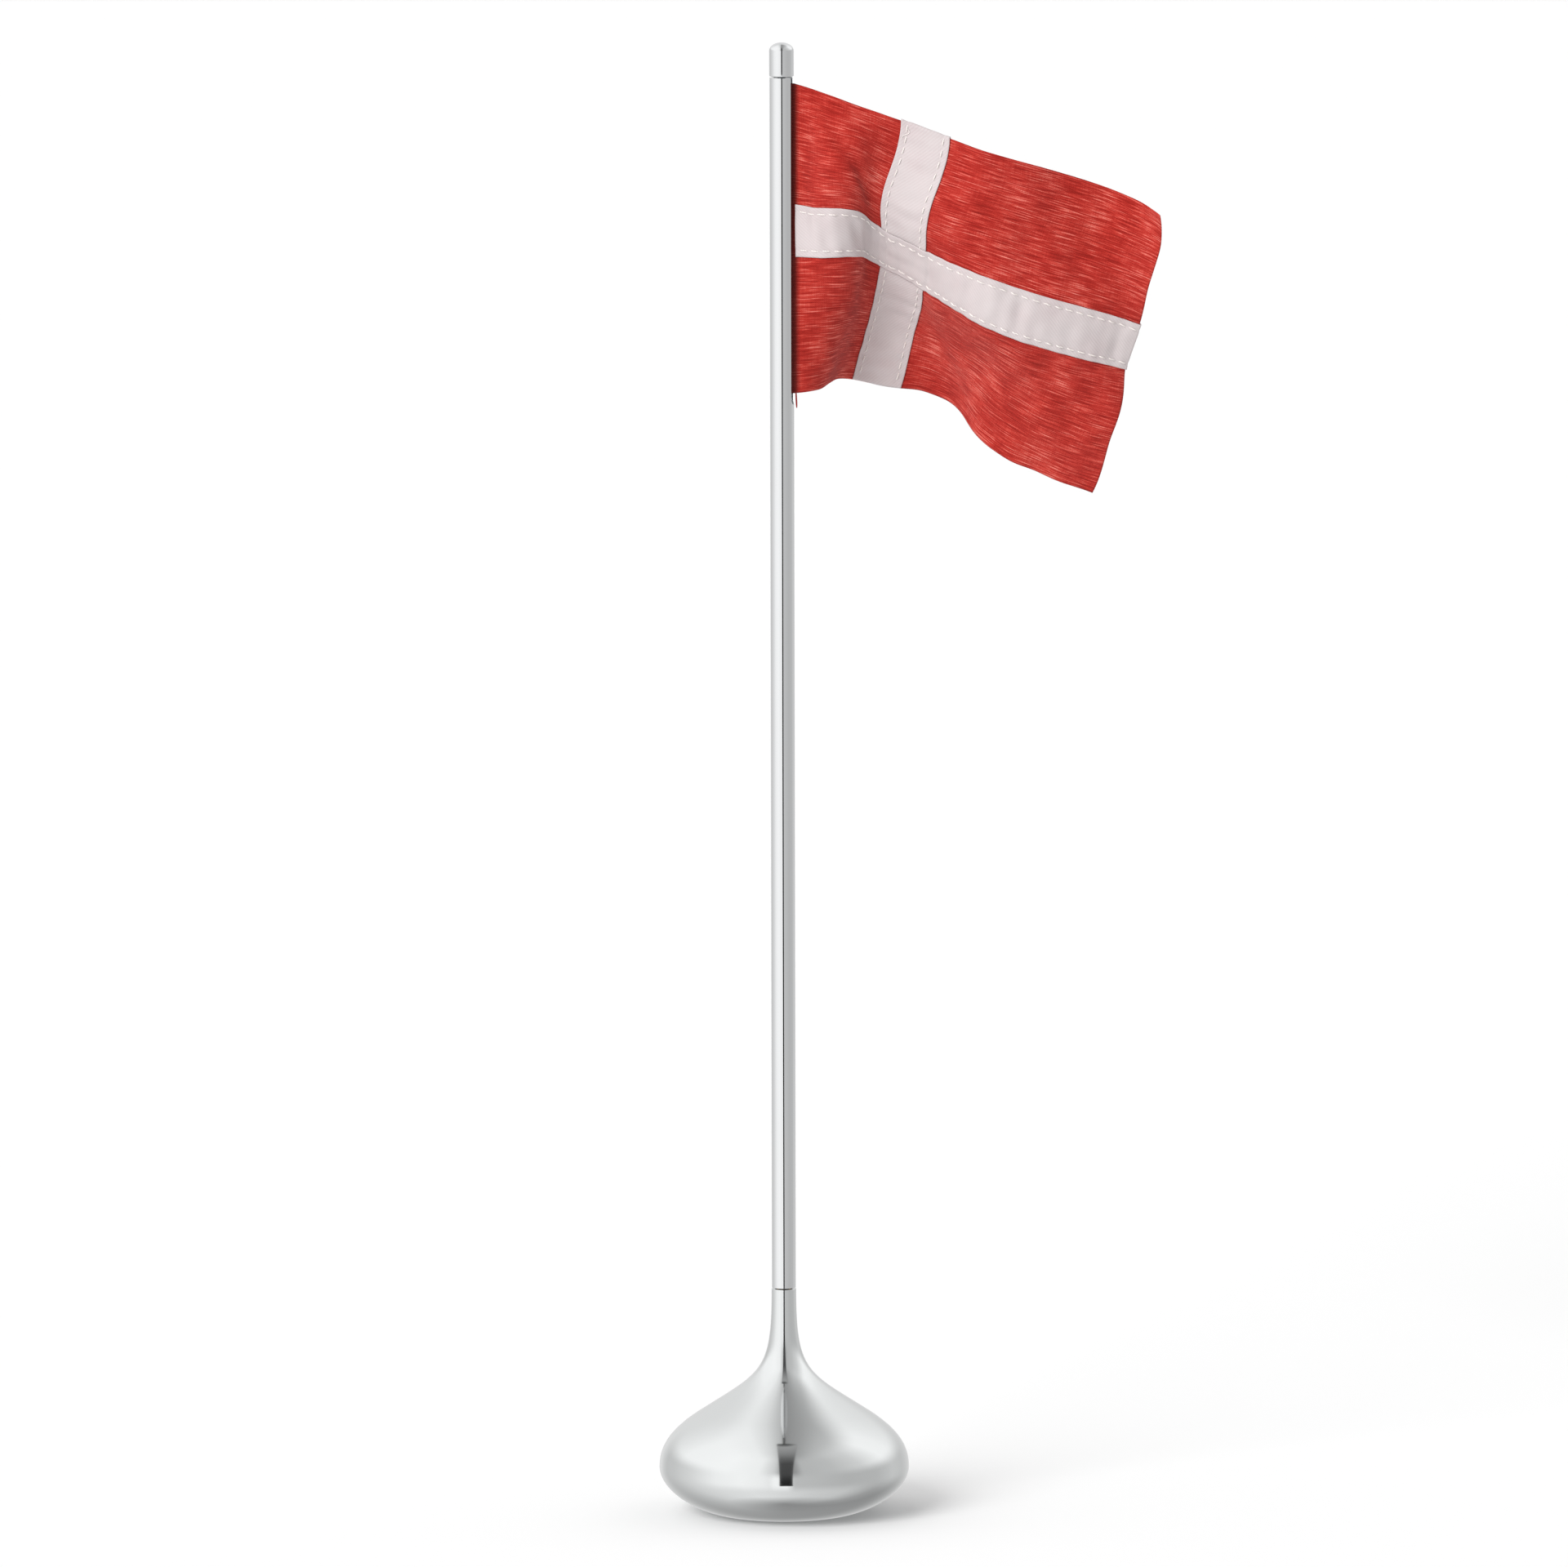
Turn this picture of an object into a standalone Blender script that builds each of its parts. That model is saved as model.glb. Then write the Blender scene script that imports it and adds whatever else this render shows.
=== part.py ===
"""Desk flag stand: a turned drop-shaped foot, a slotted pole, a push-in finial and a sewn flag.

Run it with: blender --background --python part.py
Units are metres and +Z is up. The origin is the centre of the foot pad's underside, on the
pole's axis. The flag flies along +X, and its front faces -Y.
"""

import math

import bmesh
import bpy
import numpy as np

MM = 0.001
GAP = 0.30 * MM  # free space between pieces that touch on the real object

# Heights above the table.
STAND_HEIGHT = 350.0 * MM
POLE_TOP_Z = 341.75 * MM
POLE_BOTTOM_Z = 54.10 * MM
FLAG_TOP_Z = 340.40 * MM

# Pole: a drawn tube with a slot that is open at the top.
POLE_RADIUS = 2.84 * MM
BORE_RADIUS = 2.10 * MM
SLOT_WIDTH = 3.00 * MM
SLOT_BOTTOM_Z = 264.40 * MM
SLOT_TURN = math.radians(-8.0)  # the slot faces a little towards the flag's front

# Foot: widest a little above the table, with a slim neck.
FOOT_RADIUS = 29.6 * MM
FOOT_WIDEST_Z = 11.2 * MM
NECK_RADIUS = 2.92 * MM
NECK_TOP_Z = POLE_BOTTOM_Z - 0.25 * MM
FOOT_RIM_RADIUS = 15.0 * MM
FOOT_RIM_Z = 0.30 * MM

# Hidden fastenings in the foot.
CAVITY_RADIUS = 13.3 * MM
CAVITY_TOP_Z = 25.0 * MM
STUD_HOLE_RADIUS = 2.05 * MM
STUD_HOLE_BOTTOM_Z = 41.0 * MM
STUD_RADIUS = 1.75 * MM
THREAD_PITCH = 0.70 * MM
THREAD_DEPTH = 0.35 * MM
SCREW_RADIUS = 1.60 * MM
SCREW_HOLE_RADIUS = 1.90 * MM
SCREW_HOLE_TOP_Z = 34.0 * MM
COUNTERBORE_RADIUS = 4.60 * MM
COUNTERBORE_TOP_Z = 9.00 * MM
PAD_THICKNESS = 1.70 * MM

# Finial and the rod under it, which runs down through the flag's hem.
FINIAL_RADIUS = 2.90 * MM
FINIAL_BOTTOM_Z = POLE_TOP_Z + GAP
FINIAL_DOME_HEIGHT = 1.95 * MM
ROD_RADIUS = 0.90 * MM
ROD_BOTTOM_Z = 259.5 * MM
ROD_TOP_Z = 347.2 * MM
ROD_HOLE_RADIUS = ROD_RADIUS + GAP

# Flag, as it was cut: u runs from the pole to the fly, v down from the top edge.
HOIST = 73.2 * MM
FLY = 94.7 * MM
RIBBON_WIDTH = 12.4 * MM
ACROSS_RIBBON_V = 28.5 * MM  # top edge of the ribbon that runs across
DOWN_RIBBON_U = 27.0 * MM  # hoist edge of the ribbon that runs down
FIELD_START_RADIUS = 2.95 * MM  # where the cloth clears the pole
CLOTH_THICKNESS = 0.30 * MM
RIBBON_THICKNESS = 0.25 * MM
DOWN_RIBBON_OFFSET = 0.65 * MM
ACROSS_RIBBON_OFFSET = 1.25 * MM
HEM_RADIUS = 1.45 * MM

# How each thread of the weave heads, in degrees, at stations along the flag. One line for
# each of five threads, from the top edge to the bottom edge. HEADING turns it away from the
# viewer (positive) or towards them, and DROOP turns it down.
STATIONS = (0.0, 5.0, 12.0, 20.0, 30.0, 42.0, 58.0, 76.0, 94.7)
THREAD_ROWS = (0.0, 20.0, 40.0, 57.0, 73.2)
HEADING = (
    (-9, -17, -12, -2, -7, -19, 17, 6, -53),
    (-23, -55, -12, 48, -9, -20, 6, 11, -2),
    (-12, -22, 26, 68, -3, -42, -13, 15, 28),
    (-7, 13, 47, 77, 23, -30, -27, -7, 8),
    (-1, 43, 75, 70, 24, -2, -45, -6, -2),
)
DROOP = (
    (15, 17, 19, 19, 20, 18, 16, 19, 27),
    (7, 6, 5, 29, 27, 17, 19, 17, 23),
    (1, 0, -1, 14, 26, 25, 24, 16, 15),
    (-2, -3, -2, 4, 11, 18, 35, 25, 15),
    (-4, -5, -8, 1, 13, 7, 42, 24, 19),
)

# How fine the faceted solids are.
FOOT_STEPS = 48
POLE_STEPS = 32
SMALL_STEPS = 20


# ---------------------------------------------------------------- scene and materials


def clear_scene():
    """Remove every object, so that the script can be run again."""
    for obj in list(bpy.data.objects):
        bpy.data.objects.remove(obj, do_unlink=True)


def make_collection(name):
    """Make a collection in the scene and return it."""
    collection = bpy.data.collections.new(name)
    bpy.context.scene.collection.children.link(collection)
    return collection


def make_material(name, colour, roughness, metallic):
    """Make a Principled material from a linear colour, a roughness and a metallic value."""
    material = bpy.data.materials.new(name)
    material.use_nodes = True
    shader = material.node_tree.nodes["Principled BSDF"]
    shader.inputs["Base Color"].default_value = (*colour, 1.0)
    shader.inputs["Roughness"].default_value = roughness
    shader.inputs["Metallic"].default_value = metallic
    return material


def add_object(name, mesh, collection, material=None, parent=None):
    """Link a mesh as a named object, with its material and its parent."""
    obj = bpy.data.objects.new(name, mesh)
    collection.objects.link(obj)
    if material is not None:
        mesh.materials.append(material)
    obj.parent = parent
    return obj


def add_pivot(name, collection, parent=None):
    """Add an empty on the pole's axis that carries the pieces of one moving body."""
    pivot = bpy.data.objects.new(name, None)
    pivot.empty_display_size = 5 * MM
    collection.objects.link(pivot)
    pivot.parent = parent
    return pivot


# ---------------------------------------------------------------- curves and turned shapes


def bezier(start, handle_a, handle_b, end, count):
    """Return `count` points on a cubic curve, leaving out its first point."""
    t = np.linspace(0.0, 1.0, count + 1)[1:, None]
    a, b, c, d = (np.array(p) for p in (start, handle_a, handle_b, end))
    return (1 - t) ** 3 * a + 3 * (1 - t) ** 2 * t * b + 3 * (1 - t) * t**2 * c + t**3 * d


def turned(name, outlines, collection, material, steps, parent=None):
    """Turn outlines of (radius, height) points about Z with a Screw modifier.

    The first outline runs down the outer side. Where an outline reaches the axis it stops,
    and the next one starts there. The last point joins the first, unless both are on the axis.
    """
    points = [(radius, 0.0, height) for outline in outlines for radius, height in outline]
    edges = []
    first = 0
    for outline in outlines:
        edges += [(first + i, first + i + 1) for i in range(len(outline) - 1)]
        first += len(outline)
    if points[0][0] > 0.0 or points[-1][0] > 0.0:
        edges.append((len(points) - 1, 0))
    mesh = bpy.data.meshes.new(name)
    mesh.from_pydata(points, edges, [])
    obj = add_object(name, mesh, collection, material, parent)
    screw = obj.modifiers.new("turn", "SCREW")
    screw.axis = "Z"
    screw.angle = math.tau
    screw.steps = steps
    screw.render_steps = steps
    screw.use_merge_vertices = True
    screw.merge_threshold = 0.00001
    screw.use_smooth_shade = True
    return obj


def cut(obj, cutter):
    """Subtract a cutter from an object."""
    boolean = obj.modifiers.new("cut " + cutter.name, "BOOLEAN")
    boolean.operation = "DIFFERENCE"
    boolean.solver = "EXACT"
    boolean.object = cutter


def hide_cutter(obj):
    """Mark an object as a cutter, which is not a piece of the stand."""
    obj.hide_render = True
    obj.display_type = "WIRE"


# ---------------------------------------------------------------- foot


def foot_outline():
    """Return the foot's outer outline, from the neck's top down to the rim."""
    slope = math.radians(33.0)
    along = np.array((math.cos(slope), -math.sin(slope)))
    turn_point = np.array((20.0, 24.3)) * MM
    neck_top = np.array((NECK_RADIUS, NECK_TOP_Z))
    widest = np.array((FOOT_RADIUS, FOOT_WIDEST_Z))
    rim = np.array((FOOT_RIM_RADIUS, FOOT_RIM_Z))
    up = np.array((0.0, 1.0))
    neck = bezier(neck_top, neck_top - 20.0 * MM * up, turn_point - 17.5 * MM * along, turn_point, 10)
    shoulder = bezier(turn_point, turn_point + 9.0 * MM * along, widest + 4.5 * MM * up, widest, 8)
    belly = bezier(widest, widest - 5.5 * MM * up, rim + np.array((6.0, 0.5)) * MM, rim, 7)
    return [tuple(neck_top), *map(tuple, neck), *map(tuple, shoulder), *map(tuple, belly)]


def build_foot(collection, finish):
    """Turn the cast foot, with its ballast cavity below and its two threaded holes."""
    inside = [
        (CAVITY_RADIUS, FOOT_RIM_Z),
        (CAVITY_RADIUS, CAVITY_TOP_Z),
        (SCREW_HOLE_RADIUS, CAVITY_TOP_Z),
        (SCREW_HOLE_RADIUS, SCREW_HOLE_TOP_Z),
        (0.0, SCREW_HOLE_TOP_Z + 1.0 * MM),
    ]
    socket = [
        (0.0, STUD_HOLE_BOTTOM_Z - 1.0 * MM),
        (STUD_HOLE_RADIUS, STUD_HOLE_BOTTOM_Z),
        (STUD_HOLE_RADIUS, NECK_TOP_Z),
    ]
    outlines = [foot_outline() + inside, socket]
    return turned("foot_casting", outlines, collection, finish, FOOT_STEPS)


def build_ballast(collection, iron, steel):
    """Turn the iron ballast, its washer and the screw that holds it in the cavity."""
    radius = CAVITY_RADIUS - GAP
    top = CAVITY_TOP_Z - GAP
    bottom = 4.5 * MM
    clear = SCREW_HOLE_RADIUS + 0.4 * MM
    chamfer = 0.8 * MM
    ballast = [
        (radius - chamfer, top),
        (radius, top - chamfer),
        (radius, bottom + chamfer),
        (radius - chamfer, bottom),
        (COUNTERBORE_RADIUS, bottom),
        (COUNTERBORE_RADIUS, COUNTERBORE_TOP_Z),
        (clear, COUNTERBORE_TOP_Z),
        (clear, top),
    ]
    turned("ballast_weight", [ballast], collection, iron, POLE_STEPS)

    washer_top = COUNTERBORE_TOP_Z - GAP
    washer_bottom = washer_top - 0.5 * MM
    washer_radius = COUNTERBORE_RADIUS - 0.4 * MM
    washer = [
        (washer_radius, washer_top),
        (washer_radius, washer_bottom),
        (SCREW_HOLE_RADIUS, washer_bottom),
        (SCREW_HOLE_RADIUS, washer_top),
    ]
    turned("ballast_washer", [washer], collection, steel, SMALL_STEPS)

    head_top = washer_bottom - GAP
    head_bottom = head_top - 2.6 * MM
    head_radius = 3.5 * MM
    tip = SCREW_HOLE_TOP_Z - 1.5 * MM
    profile = [
        (0.0, tip),
        (SCREW_RADIUS - 0.5 * MM, tip),
        (SCREW_RADIUS, tip - 0.5 * MM),
        (SCREW_RADIUS, head_top),
        (head_radius, head_top),
        (head_radius, head_bottom + 0.4 * MM),
        (head_radius - 0.4 * MM, head_bottom),
        (0.0, head_bottom),
    ]
    screw = turned("ballast_screw", [profile], collection, steel, SMALL_STEPS)
    return screw, head_bottom


def cut_hex_socket(screw, head_bottom, cutters):
    """Cut the hexagon socket into the screw's head, from below."""
    mesh = bpy.data.meshes.new("hex_socket_cutter")
    shape = bmesh.new()
    depth = 3.0 * MM
    bmesh.ops.create_cone(
        shape, cap_ends=True, segments=6, radius1=1.45 * MM, radius2=1.45 * MM, depth=depth
    )
    bmesh.ops.translate(shape, verts=shape.verts, vec=(0.0, 0.0, head_bottom))
    shape.to_mesh(mesh)
    shape.free()
    cutter = add_object("hex_socket_cutter", mesh, cutters)
    hide_cutter(cutter)
    cut(screw, cutter)


def build_underside(collection, steel, felt):
    """Turn the cover plate that closes the cavity and the pad that stands on the table."""
    radius = CAVITY_RADIUS - GAP
    cover_bottom = PAD_THICKNESS + GAP
    cover_top = cover_bottom + 1.5 * MM
    edge = 0.3 * MM
    cover = [
        (0.0, cover_top),
        (radius - edge, cover_top),
        (radius, cover_top - edge),
        (radius, cover_bottom),
        (0.0, cover_bottom),
    ]
    turned("bottom_cover", [cover], collection, steel, POLE_STEPS)
    pad = [
        (0.0, PAD_THICKNESS),
        (radius, PAD_THICKNESS),
        (radius, edge),
        (radius - edge, 0.0),
        (0.0, 0.0),
    ]
    turned("foot_pad", [pad], collection, felt, POLE_STEPS)


# ---------------------------------------------------------------- pole


def slot_cutter(cutters):
    """Make the slot's cutter: a straight slot, open at the top, with a round lower end."""
    half = SLOT_WIDTH / 2
    centre = SLOT_BOTTOM_Z + half
    top = POLE_TOP_Z + 2 * MM
    turns = np.linspace(math.pi, 2 * math.pi, 9)
    outline = [(half * math.cos(a), centre + half * math.sin(a)) for a in turns]
    outline += [(half, top), (-half, top)]
    mesh = bpy.data.meshes.new("slot_cutter")
    shape = bmesh.new()
    verts = [shape.verts.new((0.0, y, z)) for y, z in outline]
    face = shape.faces.new(verts)
    moved = bmesh.ops.extrude_face_region(shape, geom=[face])["geom"]
    far = [v for v in moved if isinstance(v, bmesh.types.BMVert)]
    bmesh.ops.translate(shape, verts=far, vec=(POLE_RADIUS + 1 * MM, 0.0, 0.0))
    bmesh.ops.recalc_face_normals(shape, faces=shape.faces)
    shape.to_mesh(mesh)
    shape.free()
    cutter = add_object("slot_cutter", mesh, cutters)
    cutter.rotation_euler = (0.0, 0.0, SLOT_TURN)
    hide_cutter(cutter)
    return cutter


def build_pole(collection, cutters, chrome, brass, nylon, pivot):
    """Make the slotted tube, its threaded stud and the guide that the rod's tip sits in."""
    edge = 0.15 * MM
    tube = [
        (POLE_RADIUS - edge, POLE_TOP_Z),
        (POLE_RADIUS, POLE_TOP_Z - edge),
        (POLE_RADIUS, POLE_BOTTOM_Z + edge),
        (POLE_RADIUS - edge, POLE_BOTTOM_Z),
        (BORE_RADIUS, POLE_BOTTOM_Z),
        (BORE_RADIUS, POLE_TOP_Z),
    ]
    pole = turned("pole_tube", [tube], collection, chrome, POLE_STEPS, pivot)
    cut(pole, slot_cutter(cutters))

    insert_radius = BORE_RADIUS - GAP
    insert_top = POLE_BOTTOM_Z + 12 * MM
    stud_bottom = STUD_HOLE_BOTTOM_Z + 1.0 * MM
    root = STUD_RADIUS - THREAD_DEPTH
    stud = [
        (0.0, insert_top),
        (insert_radius - 0.3 * MM, insert_top),
        (insert_radius, insert_top - 0.3 * MM),
        (insert_radius, POLE_BOTTOM_Z + GAP),
        (root, POLE_BOTTOM_Z),
    ]
    turns = int((POLE_BOTTOM_Z - stud_bottom) / THREAD_PITCH) - 1
    for turn in range(turns):
        crest = POLE_BOTTOM_Z - (turn + 1) * THREAD_PITCH
        stud.append((STUD_RADIUS, crest))
        stud.append((root, crest - THREAD_PITCH / 2))
    stud.append((0.0, stud[-1][1]))
    turned("threaded_stud", [stud], collection, brass, SMALL_STEPS, pivot)

    guide_top = SLOT_BOTTOM_Z - 0.5 * MM
    guide_bottom = guide_top - 9 * MM
    hole_bottom = ROD_BOTTOM_Z - GAP
    guide = [
        (ROD_HOLE_RADIUS, guide_top),
        (insert_radius, guide_top),
        (insert_radius, guide_bottom),
        (0.0, guide_bottom),
    ]
    hole = [(0.0, hole_bottom), (ROD_HOLE_RADIUS, hole_bottom)]
    turned("rod_guide", [guide, hole], collection, nylon, SMALL_STEPS, pivot)


# ---------------------------------------------------------------- finial


def build_finial(collection, chrome, steel, pivot):
    """Turn the domed cap and the rod that locks the flag's hem in the slot."""
    shoulder = STAND_HEIGHT - FINIAL_DOME_HEIGHT
    turns = np.linspace(0.0, math.pi / 2, 8)
    dome = [
        (FINIAL_RADIUS * math.sin(a), shoulder + FINIAL_DOME_HEIGHT * math.cos(a)) for a in turns
    ]
    edge = 0.25 * MM
    outside = dome + [
        (FINIAL_RADIUS, FINIAL_BOTTOM_Z + edge),
        (FINIAL_RADIUS - edge, FINIAL_BOTTOM_Z),
        (ROD_HOLE_RADIUS, FINIAL_BOTTOM_Z),
        (ROD_HOLE_RADIUS, ROD_TOP_Z + GAP),
        (0.0, ROD_TOP_Z + GAP),
    ]
    turned("finial_cap", [outside], collection, chrome, POLE_STEPS, pivot)

    collar_radius = BORE_RADIUS - GAP
    collar_bottom = FLAG_TOP_Z + 0.5 * MM
    collar_top = POLE_TOP_Z
    point = 0.4 * MM
    rod = [
        (0.0, ROD_TOP_Z),
        (ROD_RADIUS, ROD_TOP_Z),
        (ROD_RADIUS, collar_top),
        (collar_radius, collar_top),
        (collar_radius, collar_bottom),
        (ROD_RADIUS, collar_bottom),
        (ROD_RADIUS, ROD_BOTTOM_Z + point),
        (ROD_RADIUS - point, ROD_BOTTOM_Z),
        (0.0, ROD_BOTTOM_Z),
    ]
    turned("finial_rod", [rod], collection, steel, SMALL_STEPS, pivot)


# ---------------------------------------------------------------- flag


def smooth_weights(knots, at):
    """Return the matrix that takes values at knots to a smooth curve at the given places.

    Each stretch is a cubic that leaves both of its knots with the slope of their neighbours.
    """
    knots = np.asarray(knots, float)
    at = np.asarray(at, float)
    value = np.eye(len(knots))
    slope = np.gradient(value, knots, axis=0)
    low = np.clip(np.searchsorted(knots, at, side="right") - 1, 0, len(knots) - 2)
    span = (knots[low + 1] - knots[low])[:, None]
    t = (at - knots[low])[:, None] / span
    near = (1 + 2 * t) * (1 - t) ** 2 * value[low] + t * (1 - t) ** 2 * span * slope[low]
    far = t**2 * (3 - 2 * t) * value[low + 1] + t**2 * (t - 1) * span * slope[low + 1]
    return near + far


def cloth_points(along, down):
    """Return the cloth's middle surface at each `along` and `down`, as an array [v, u, xyz].

    A thread keeps its length: it starts where the cloth leaves the slot and is followed in
    short steps, each of which heads and droops as the two tables say.
    """
    fine = np.linspace(0.0, FLY, 191)
    by_station = smooth_weights(np.array(STATIONS) * MM, fine)
    by_row = smooth_weights(np.array(THREAD_ROWS) * MM, down)
    heading = np.radians(by_row @ np.array(HEADING, float) @ by_station.T)
    droop = np.radians(by_row @ np.array(DROOP, float) @ by_station.T)
    step = np.stack(
        (np.cos(droop) * np.cos(heading), np.cos(droop) * np.sin(heading), -np.sin(droop)), axis=-1
    )
    middle = (step[:, 1:] + step[:, :-1]) / 2 * (fine[1] - fine[0])
    path = np.concatenate((np.zeros((len(down), 1, 3)), np.cumsum(middle, axis=1)), axis=1)
    path[..., 0] += FIELD_START_RADIUS * math.cos(SLOT_TURN)
    path[..., 1] += FIELD_START_RADIUS * math.sin(SLOT_TURN)
    path[..., 2] += FLAG_TOP_Z - np.asarray(down)[:, None]
    rows = []
    for row in path:
        rows.append(np.stack([np.interp(along, fine, row[:, axis]) for axis in range(3)], axis=-1))
    return np.array(rows)


def cloth_normals(along, down):
    """Return unit normals of the middle surface, which point to the back (+Y)."""
    small = 0.25 * MM
    ahead = cloth_points(np.clip(along + small, 0, FLY), down)
    behind = cloth_points(np.clip(along - small, 0, FLY), down)
    below = cloth_points(along, np.clip(down + small, 0, HOIST))
    above = cloth_points(along, np.clip(down - small, 0, HOIST))
    normal = np.cross(ahead - behind, below - above)
    return normal / np.linalg.norm(normal, axis=-1, keepdims=True)


def flag_columns():
    """Return the stations along the flag at which its mesh has points."""
    ribbon_end = DOWN_RIBBON_U + RIBBON_WIDTH
    return np.concatenate(
        (
            np.linspace(0.0, DOWN_RIBBON_U, 10)[:-1],
            np.linspace(DOWN_RIBBON_U, ribbon_end, 4)[:-1],
            np.linspace(ribbon_end, FLY, 13),
        )
    )


def flag_rows():
    """Return the places down the flag at which its mesh has points."""
    ribbon_end = ACROSS_RIBBON_V + RIBBON_WIDTH
    return np.concatenate(
        (
            np.linspace(0.0, ACROSS_RIBBON_V, 6)[:-1],
            np.linspace(ACROSS_RIBBON_V, ribbon_end, 4)[:-1],
            np.linspace(ribbon_end, HOIST, 7),
        )
    )


def sheet(name, points, thickness, collection, material, pivot):
    """Make a thin closed solid from a grid of points [row, column, xyz] on its middle."""
    rows, columns = points.shape[:2]
    corner = np.arange(rows * columns).reshape(rows, columns)
    quads = np.stack(
        (corner[:-1, :-1], corner[1:, :-1], corner[1:, 1:], corner[:-1, 1:]), axis=-1
    ).reshape(-1, 4)
    mesh = bpy.data.meshes.new(name)
    mesh.from_pydata(points.reshape(-1, 3).tolist(), [], quads.tolist())
    mesh.shade_smooth()
    obj = add_object(name, mesh, collection, material, pivot)
    wall = obj.modifiers.new("thickness", "SOLIDIFY")
    wall.thickness = thickness
    wall.offset = 0.0
    return obj


def hem_path():
    """Return the plan of the hem, from its sewn end round the rod and out of the slot."""
    angles = np.radians(np.linspace(45.0, 300.0, 12))
    loop = HEM_RADIUS * np.stack((np.cos(angles), np.sin(angles)), axis=-1)
    last = angles[-1]
    leaving = np.array((-math.sin(last), math.cos(last)))
    mouth = np.array((FIELD_START_RADIUS, 0.0))
    ahead = np.array((1.0, 0.0))
    out = bezier(loop[-1], loop[-1] + 0.8 * MM * leaving, mouth - 0.9 * MM * ahead, mouth, 5)
    plan = np.concatenate((loop, out[:-1]))
    turn = np.array(
        (
            (math.cos(SLOT_TURN), -math.sin(SLOT_TURN)),
            (math.sin(SLOT_TURN), math.cos(SLOT_TURN)),
        )
    )
    return plan @ turn.T


def build_flag(collection, red, white, pivot):
    """Make the red cloth with its hem, and the two ribbons that are sewn round it."""
    down = flag_rows()
    along = flag_columns()
    field = cloth_points(along, down)
    plan = hem_path()
    hem = np.zeros((len(down), len(plan), 3))
    hem[..., :2] = plan
    hem[..., 2] = FLAG_TOP_Z - down[:, None]
    cloth = np.concatenate((hem, field), axis=1)
    sheet("flag_cloth", cloth, CLOTH_THICKNESS, collection, red, pivot)

    ribbon_end = DOWN_RIBBON_U + RIBBON_WIDTH
    across = down[(down >= ACROSS_RIBBON_V - GAP) & (down <= ACROSS_RIBBON_V + RIBBON_WIDTH + GAP)]
    reach = along.copy()
    reach[0] = 0.4 * MM
    build_ribbon("across_ribbon", reach, across, ACROSS_RIBBON_OFFSET, collection, white, pivot)
    beside = along[(along >= DOWN_RIBBON_U - GAP) & (along <= ribbon_end + GAP)]
    build_ribbon("down_ribbon", beside, down, DOWN_RIBBON_OFFSET, collection, white, pivot)


def build_ribbon(name, along, down, offset, collection, material, pivot):
    """Make a ribbon that lies on both faces of the cloth and is folded round one edge.

    The ribbon across is folded round the fly and the ribbon down round the top edge.
    """
    middle = cloth_points(along, down)
    out = cloth_normals(along, down) * offset
    front = middle - out
    back = middle + out
    if name == "across_ribbon":
        edge, inner, side = middle[:, -1], middle[:, -2], out[:, -1]
        fold = fold_points(edge, edge - inner, side, offset)
        strip = np.concatenate((front, fold, back[:, ::-1]), axis=1)
    else:
        edge, inner, side = middle[0], middle[1], out[0]
        fold = fold_points(edge, edge - inner, side, offset)
        strip = np.concatenate((back[::-1], fold.transpose(1, 0, 2)[::-1], front), axis=0)
    sheet(name, strip, RIBBON_THICKNESS, collection, material, pivot)


def fold_points(edge, outward, side, offset):
    """Return the half circle that takes a ribbon from the front round an edge to the back."""
    outward = outward / np.linalg.norm(outward, axis=-1, keepdims=True) * offset
    turns = np.radians((-54.0, -18.0, 18.0, 54.0))
    arcs = [edge + math.sin(a) * side + math.cos(a) * outward for a in turns]
    return np.stack(arcs, axis=1)


# ---------------------------------------------------------------- whole stand


def main():
    """Build the stand: the foot carries the pole, and the pole the finial and the flag."""
    clear_scene()
    stand = make_collection("desk_flag_stand")
    cutters = make_collection("cutters")

    chrome = make_material("chrome_plate", (0.72, 0.73, 0.74), 0.08, 1.0)
    steel = make_material("zinc_plated_steel", (0.55, 0.56, 0.58), 0.35, 1.0)
    iron = make_material("cast_iron", (0.10, 0.10, 0.11), 0.70, 1.0)
    brass = make_material("turned_brass", (0.62, 0.42, 0.16), 0.30, 1.0)
    nylon = make_material("white_nylon", (0.75, 0.74, 0.70), 0.50, 0.0)
    felt = make_material("black_felt", (0.02, 0.02, 0.02), 0.95, 0.0)
    red = make_material("red_cotton", (0.48, 0.03, 0.02), 0.90, 0.0)
    white = make_material("white_ribbon", (0.75, 0.70, 0.72), 0.60, 0.0)

    build_foot(stand, chrome)
    screw, head_bottom = build_ballast(stand, iron, steel)
    cut_hex_socket(screw, head_bottom, cutters)
    build_underside(stand, steel, felt)

    pole_pivot = add_pivot("pole_axis", stand)
    build_pole(stand, cutters, chrome, brass, nylon, pole_pivot)
    finial_pivot = add_pivot("finial_axis", stand, pole_pivot)
    build_finial(stand, chrome, steel, finial_pivot)
    flag_pivot = add_pivot("flag_axis", stand, pole_pivot)
    build_flag(stand, red, white, flag_pivot)


main()
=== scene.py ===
"""Desk flag stand: the finished looks of a chromed table stand with a small sewn flag.

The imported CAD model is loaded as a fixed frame. Fine numpy surfaces stand in for its faceted
chrome pieces and for its plain flag. The other pieces keep their CAD meshes and get finishes.
"""

import logging
import math
from dataclasses import dataclass, field
from enum import Enum

import bmesh
import bpy
import numpy as np
from mathutils import Matrix, Vector


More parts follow.
